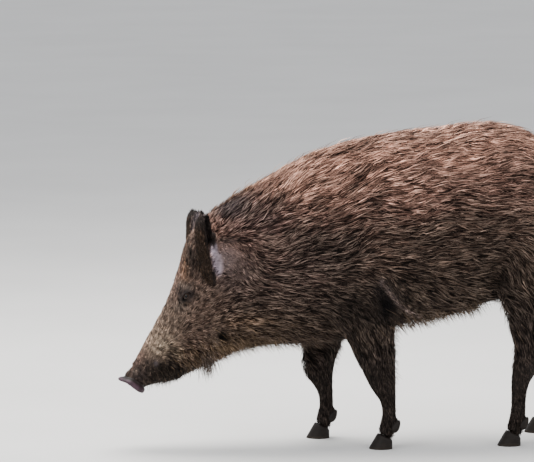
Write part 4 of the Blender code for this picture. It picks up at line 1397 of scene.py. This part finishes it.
def snout_disc():
    """The disc: a rolled rim, a notch below, two nostrils and a soft dish between them."""
    up = unit(DISC_TOP - DISC_FOOT)
    out = np.cross(up, ACROSS)
    half = np.linalg.norm(DISC_TOP - DISC_FOOT) / 2
    wide = (DISC_HIGH[1] - DISC_LOW[1]) / 2
    turns = np.linspace(0, 2 * math.pi, 96, endpoint=False)
    mesh = loft([[disc_point(turn, size, depth, wide, half, up, out) for turn in turns]
                 for size, depth in DISC_SECTION], "snout")
    points = points_of(mesh)
    offset = points - DISC_MIDDLE
    y, z, front = offset @ ACROSS, offset @ up, offset @ out
    hole = np.zeros(len(points))
    drop = z + NOSTRIL_DOWN + 0.25 * (np.abs(y) - NOSTRIL_OUT)
    for sign in SIDES.values():
        gap = np.sqrt(((y - sign * NOSTRIL_OUT) / NOSTRIL_WIDE) ** 2 + (drop / NOSTRIL_TALL) ** 2)
        hole = np.maximum(hole, 1 - ramp(gap, 0.55, 1.15))
        rim = 0.0012 * bell(gap - 1.45, 0.35)
        points += out * (rim * (front > -0.006))[:, None]
    points -= out * (NOSTRIL_DEEP * hole * (front > -0.006))[:, None]
    points += out * (0.00035 * swirl(points, 0.006, 41) * (front > -0.010))[:, None]
    set_points(mesh, points)
    dirt = ramp(swirl(points, 0.020, 42), -0.2, 1.2)[:, None]
    colour = mix(linear((66, 49, 57)), linear((30, 25, 24)), 0.5 * dirt)
    # behind the rim the disc's grey skin gives way to dark flesh
    bow = DISC_BOW * np.sin(math.pi * (z / half).clip(-1, 1))
    deep = (-front - DISC_SWEEP * (y / wide) ** 2 - bow) / disc_bulk(z / half)
    paint(colour, (38, 30, 28), ramp(deep, 0.0082, 0.0112))
    # the nostrils are made near black: painted shade inside them
    store_colour(mesh, colour * (1 - 0.93 * hole)[:, None])
    finish_piece("snout", mesh, SNOUT, ["snout_disc"])


snout_disc()


# ================ hooves
HORN_DARK, HORN_PALE = linear((30, 25, 22)), linear((62, 53, 44))
# A claw's outline from above, as shares forward and outward: its outer wall, then its inner.
CLAW_OUTLINE = [(math.cos(math.pi * i / 27), max(math.sin(math.pi * i / 27), 0.0) ** 0.75)
                for i in range(28)]
CLAW_OUTLINE += [(-1 + 2 * i / 10, -0.02 * math.sin(math.pi * i / 10)) for i in range(1, 10)]
TOE_LEAN = 0.0225  # how far the toe leans back from the ground to the top of the claw
TOP_SLOPE = 0.44  # how steeply the top of the claw falls toward the heel
DEWCLAW_SIZE = np.array([0.0094, 0.0086, 0.0172])
DEWCLAW_BACK, DEWCLAW_OUT, DEWCLAW_UP = 0.0635, 0.0168, 0.0555
DEWCLAW_TILT = math.radians(28)


def claw(name):
    """A main claw: sloping wall with growth rings, a blunt toe and a softer heel."""
    low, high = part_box(name)
    side = -1.0 if name.endswith("left") else 1.0
    inner = high.y if side < 0 else low.y
    wide, tall = high.y - low.y, high.z
    rings = []
    for share in np.linspace(0, 1, 22):
        swell = np.interp(share, [0, 0.04, 0.15, 0.6, 0.92, 1.0], [0.93, 0.98, 1.0, 0.955, 0.90, 0.82])
        swell += 0.006 * math.sin(share * 34)
        toe = low.x + TOE_LEAN * share + (0.0012 if share == 0 else 0)
        heel = high.x - 0.0005 - 0.0025 * ramp(share, 0.8, 1.0)
        ring = []
        for fore, outward in CLAW_OUTLINE:
            x = (toe + heel) / 2 - fore * (heel - toe) / 2
            taper = 1 - 0.35 * max(fore, 0) ** 2
            y = inner + side * outward * wide * swell * taper
            top = tall - (x - low.x - 0.0200) * TOP_SLOPE if x > low.x + 0.02 else tall
            ring.append((x, y, min(top, tall) * share))
        rings.append(ring)
    mesh = loft(rings, name)
    points = points_of(mesh)
    pale = ramp(points[:, 2], 0.010, 0.0)[:, None]
    colour = mix(HORN_DARK, HORN_PALE, 0.4 * pale)
    store_colour(mesh, colour * (1 + 0.10 * swirl(points, 0.02, 50))[:, None])
    finish_piece(f"claw_{name[5:]}", mesh, HORN, [name])


def dewclaw(leg, side):
    """A small hind claw: a blunt cone that hangs behind the pastern."""
    low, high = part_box(f"hoof_{leg}_{side}")
    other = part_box(f"hoof_{leg}_{'left' if side == 'right' else 'right'}")
    middle = (min(low.y, other[0].y) + max(high.y, other[1].y)) / 2
    centre = np.array([low.x + DEWCLAW_BACK, middle + SIDES[side] * DEWCLAW_OUT, DEWCLAW_UP])
    mesh = ball(f"dewclaw_{leg}_{side}", 4, 1.0)
    points = points_of(mesh)
    taper = 1 - 0.25 * points[:, 2]
    x, y, z = (points * DEWCLAW_SIZE).T
    x, y = x * taper, y * taper
    across = x * math.cos(DEWCLAW_TILT) + z * math.sin(DEWCLAW_TILT)
    z = -x * math.sin(DEWCLAW_TILT) + z * math.cos(DEWCLAW_TILT)
    points = np.stack([across, y, z], axis=1) + centre
    set_points(mesh, points)
    store_colour(mesh, HORN_DARK * (1 + 0.15 * swirl(points, 0.008, 51))[:, None])
    finish_piece(f"dewclaw_{leg}_{side}", mesh, HORN)


for name in sorted(NODES):
    if name.startswith("hoof"):
        claw(name)
for kind in ("foreleg", "hindleg"):
    for leg_side in SIDES:
        for side in SIDES:
            dewclaw(f"{kind}_{leg_side}", side)


# ================ floor, light and camera
CAMERA_TURN, CAMERA_TILT, CAMERA_FAR = math.radians(-9), math.radians(7), 12.0
VIEW_WIDTH = 1.2816  # metres across the view, at the distance of the animal
SENSOR = 36.0


def floor_piece():
    work = bmesh.new()
    bmesh.ops.create_grid(work, x_segments=1, y_segments=1, size=60.0)
    mesh = mesh_of(work, "floor")
    material, tree, shader = new_shader("floor_paint", 0.5, 0.9)
    shade = shaded(tree, spread(tree, noise(tree, 1.5, 2.0), 0.97, 1.03))
    shade.inputs[0].default_value = (0.80, 0.79, 0.77)
    tree.links.new(shade.outputs["Vector"], shader.inputs["Base Color"])
    mesh.materials.append(material)
    floor = linked("floor", mesh)


def soft_box(name, place, aim, size, power, colour):
    lamp = bpy.data.lights.new(name, "AREA")
    lamp.shape = "RECTANGLE"
    lamp.size, lamp.size_y = size
    lamp.energy = power
    lamp.color = colour
    item = linked(name, lamp)
    item.location = place
    item.rotation_euler = (Vector(aim) - Vector(place)).to_track_quat("-Z", "Y").to_euler()


def daylight():
    """A soft pale sky all round."""
    world = bpy.data.worlds.new("studio")
    world.use_nodes = True
    sky = world.node_tree.nodes["Background"]
    sky.inputs["Color"].default_value = (0.86, 0.88, 0.92, 1)
    sky.inputs["Strength"].default_value = 0.95
    bpy.context.scene.world = world


def camera():
    """A long lens from the animal's left, a little ahead of it and a little above."""
    aim = at("neck", 0.685, 0.665)
    aim[1] = 0.0
    level = math.cos(CAMERA_TILT)
    back = np.array([
        math.sin(CAMERA_TURN) * level, -math.cos(CAMERA_TURN) * level, math.sin(CAMERA_TILT)])
    lens = bpy.data.cameras.new("camera")
    lens.sensor_width = SENSOR
    lens.lens = SENSOR * CAMERA_FAR / VIEW_WIDTH
    lens.clip_end = 200.0
    item = linked("camera", lens)
    item.location = aim + back * CAMERA_FAR
    item.rotation_euler = Vector(back).to_track_quat("Z", "Y").to_euler()
    bpy.context.scene.camera = item


floor_piece()
soft_box("top", (-0.4, 0.9, 3.4), (0, 0, 0.4), (3.2, 2.4), 250, (1.0, 0.98, 0.95))
soft_box("front", (-3.2, -2.6, 2.2), (-0.1, 0, 0.4), (2.4, 2.0), 75, (0.96, 0.98, 1.0))
soft_box("side", (2.6, -3.4, 2.0), (0.1, 0, 0.4), (2.4, 2.0), 60, (1.0, 0.99, 0.97))
daylight()
camera()
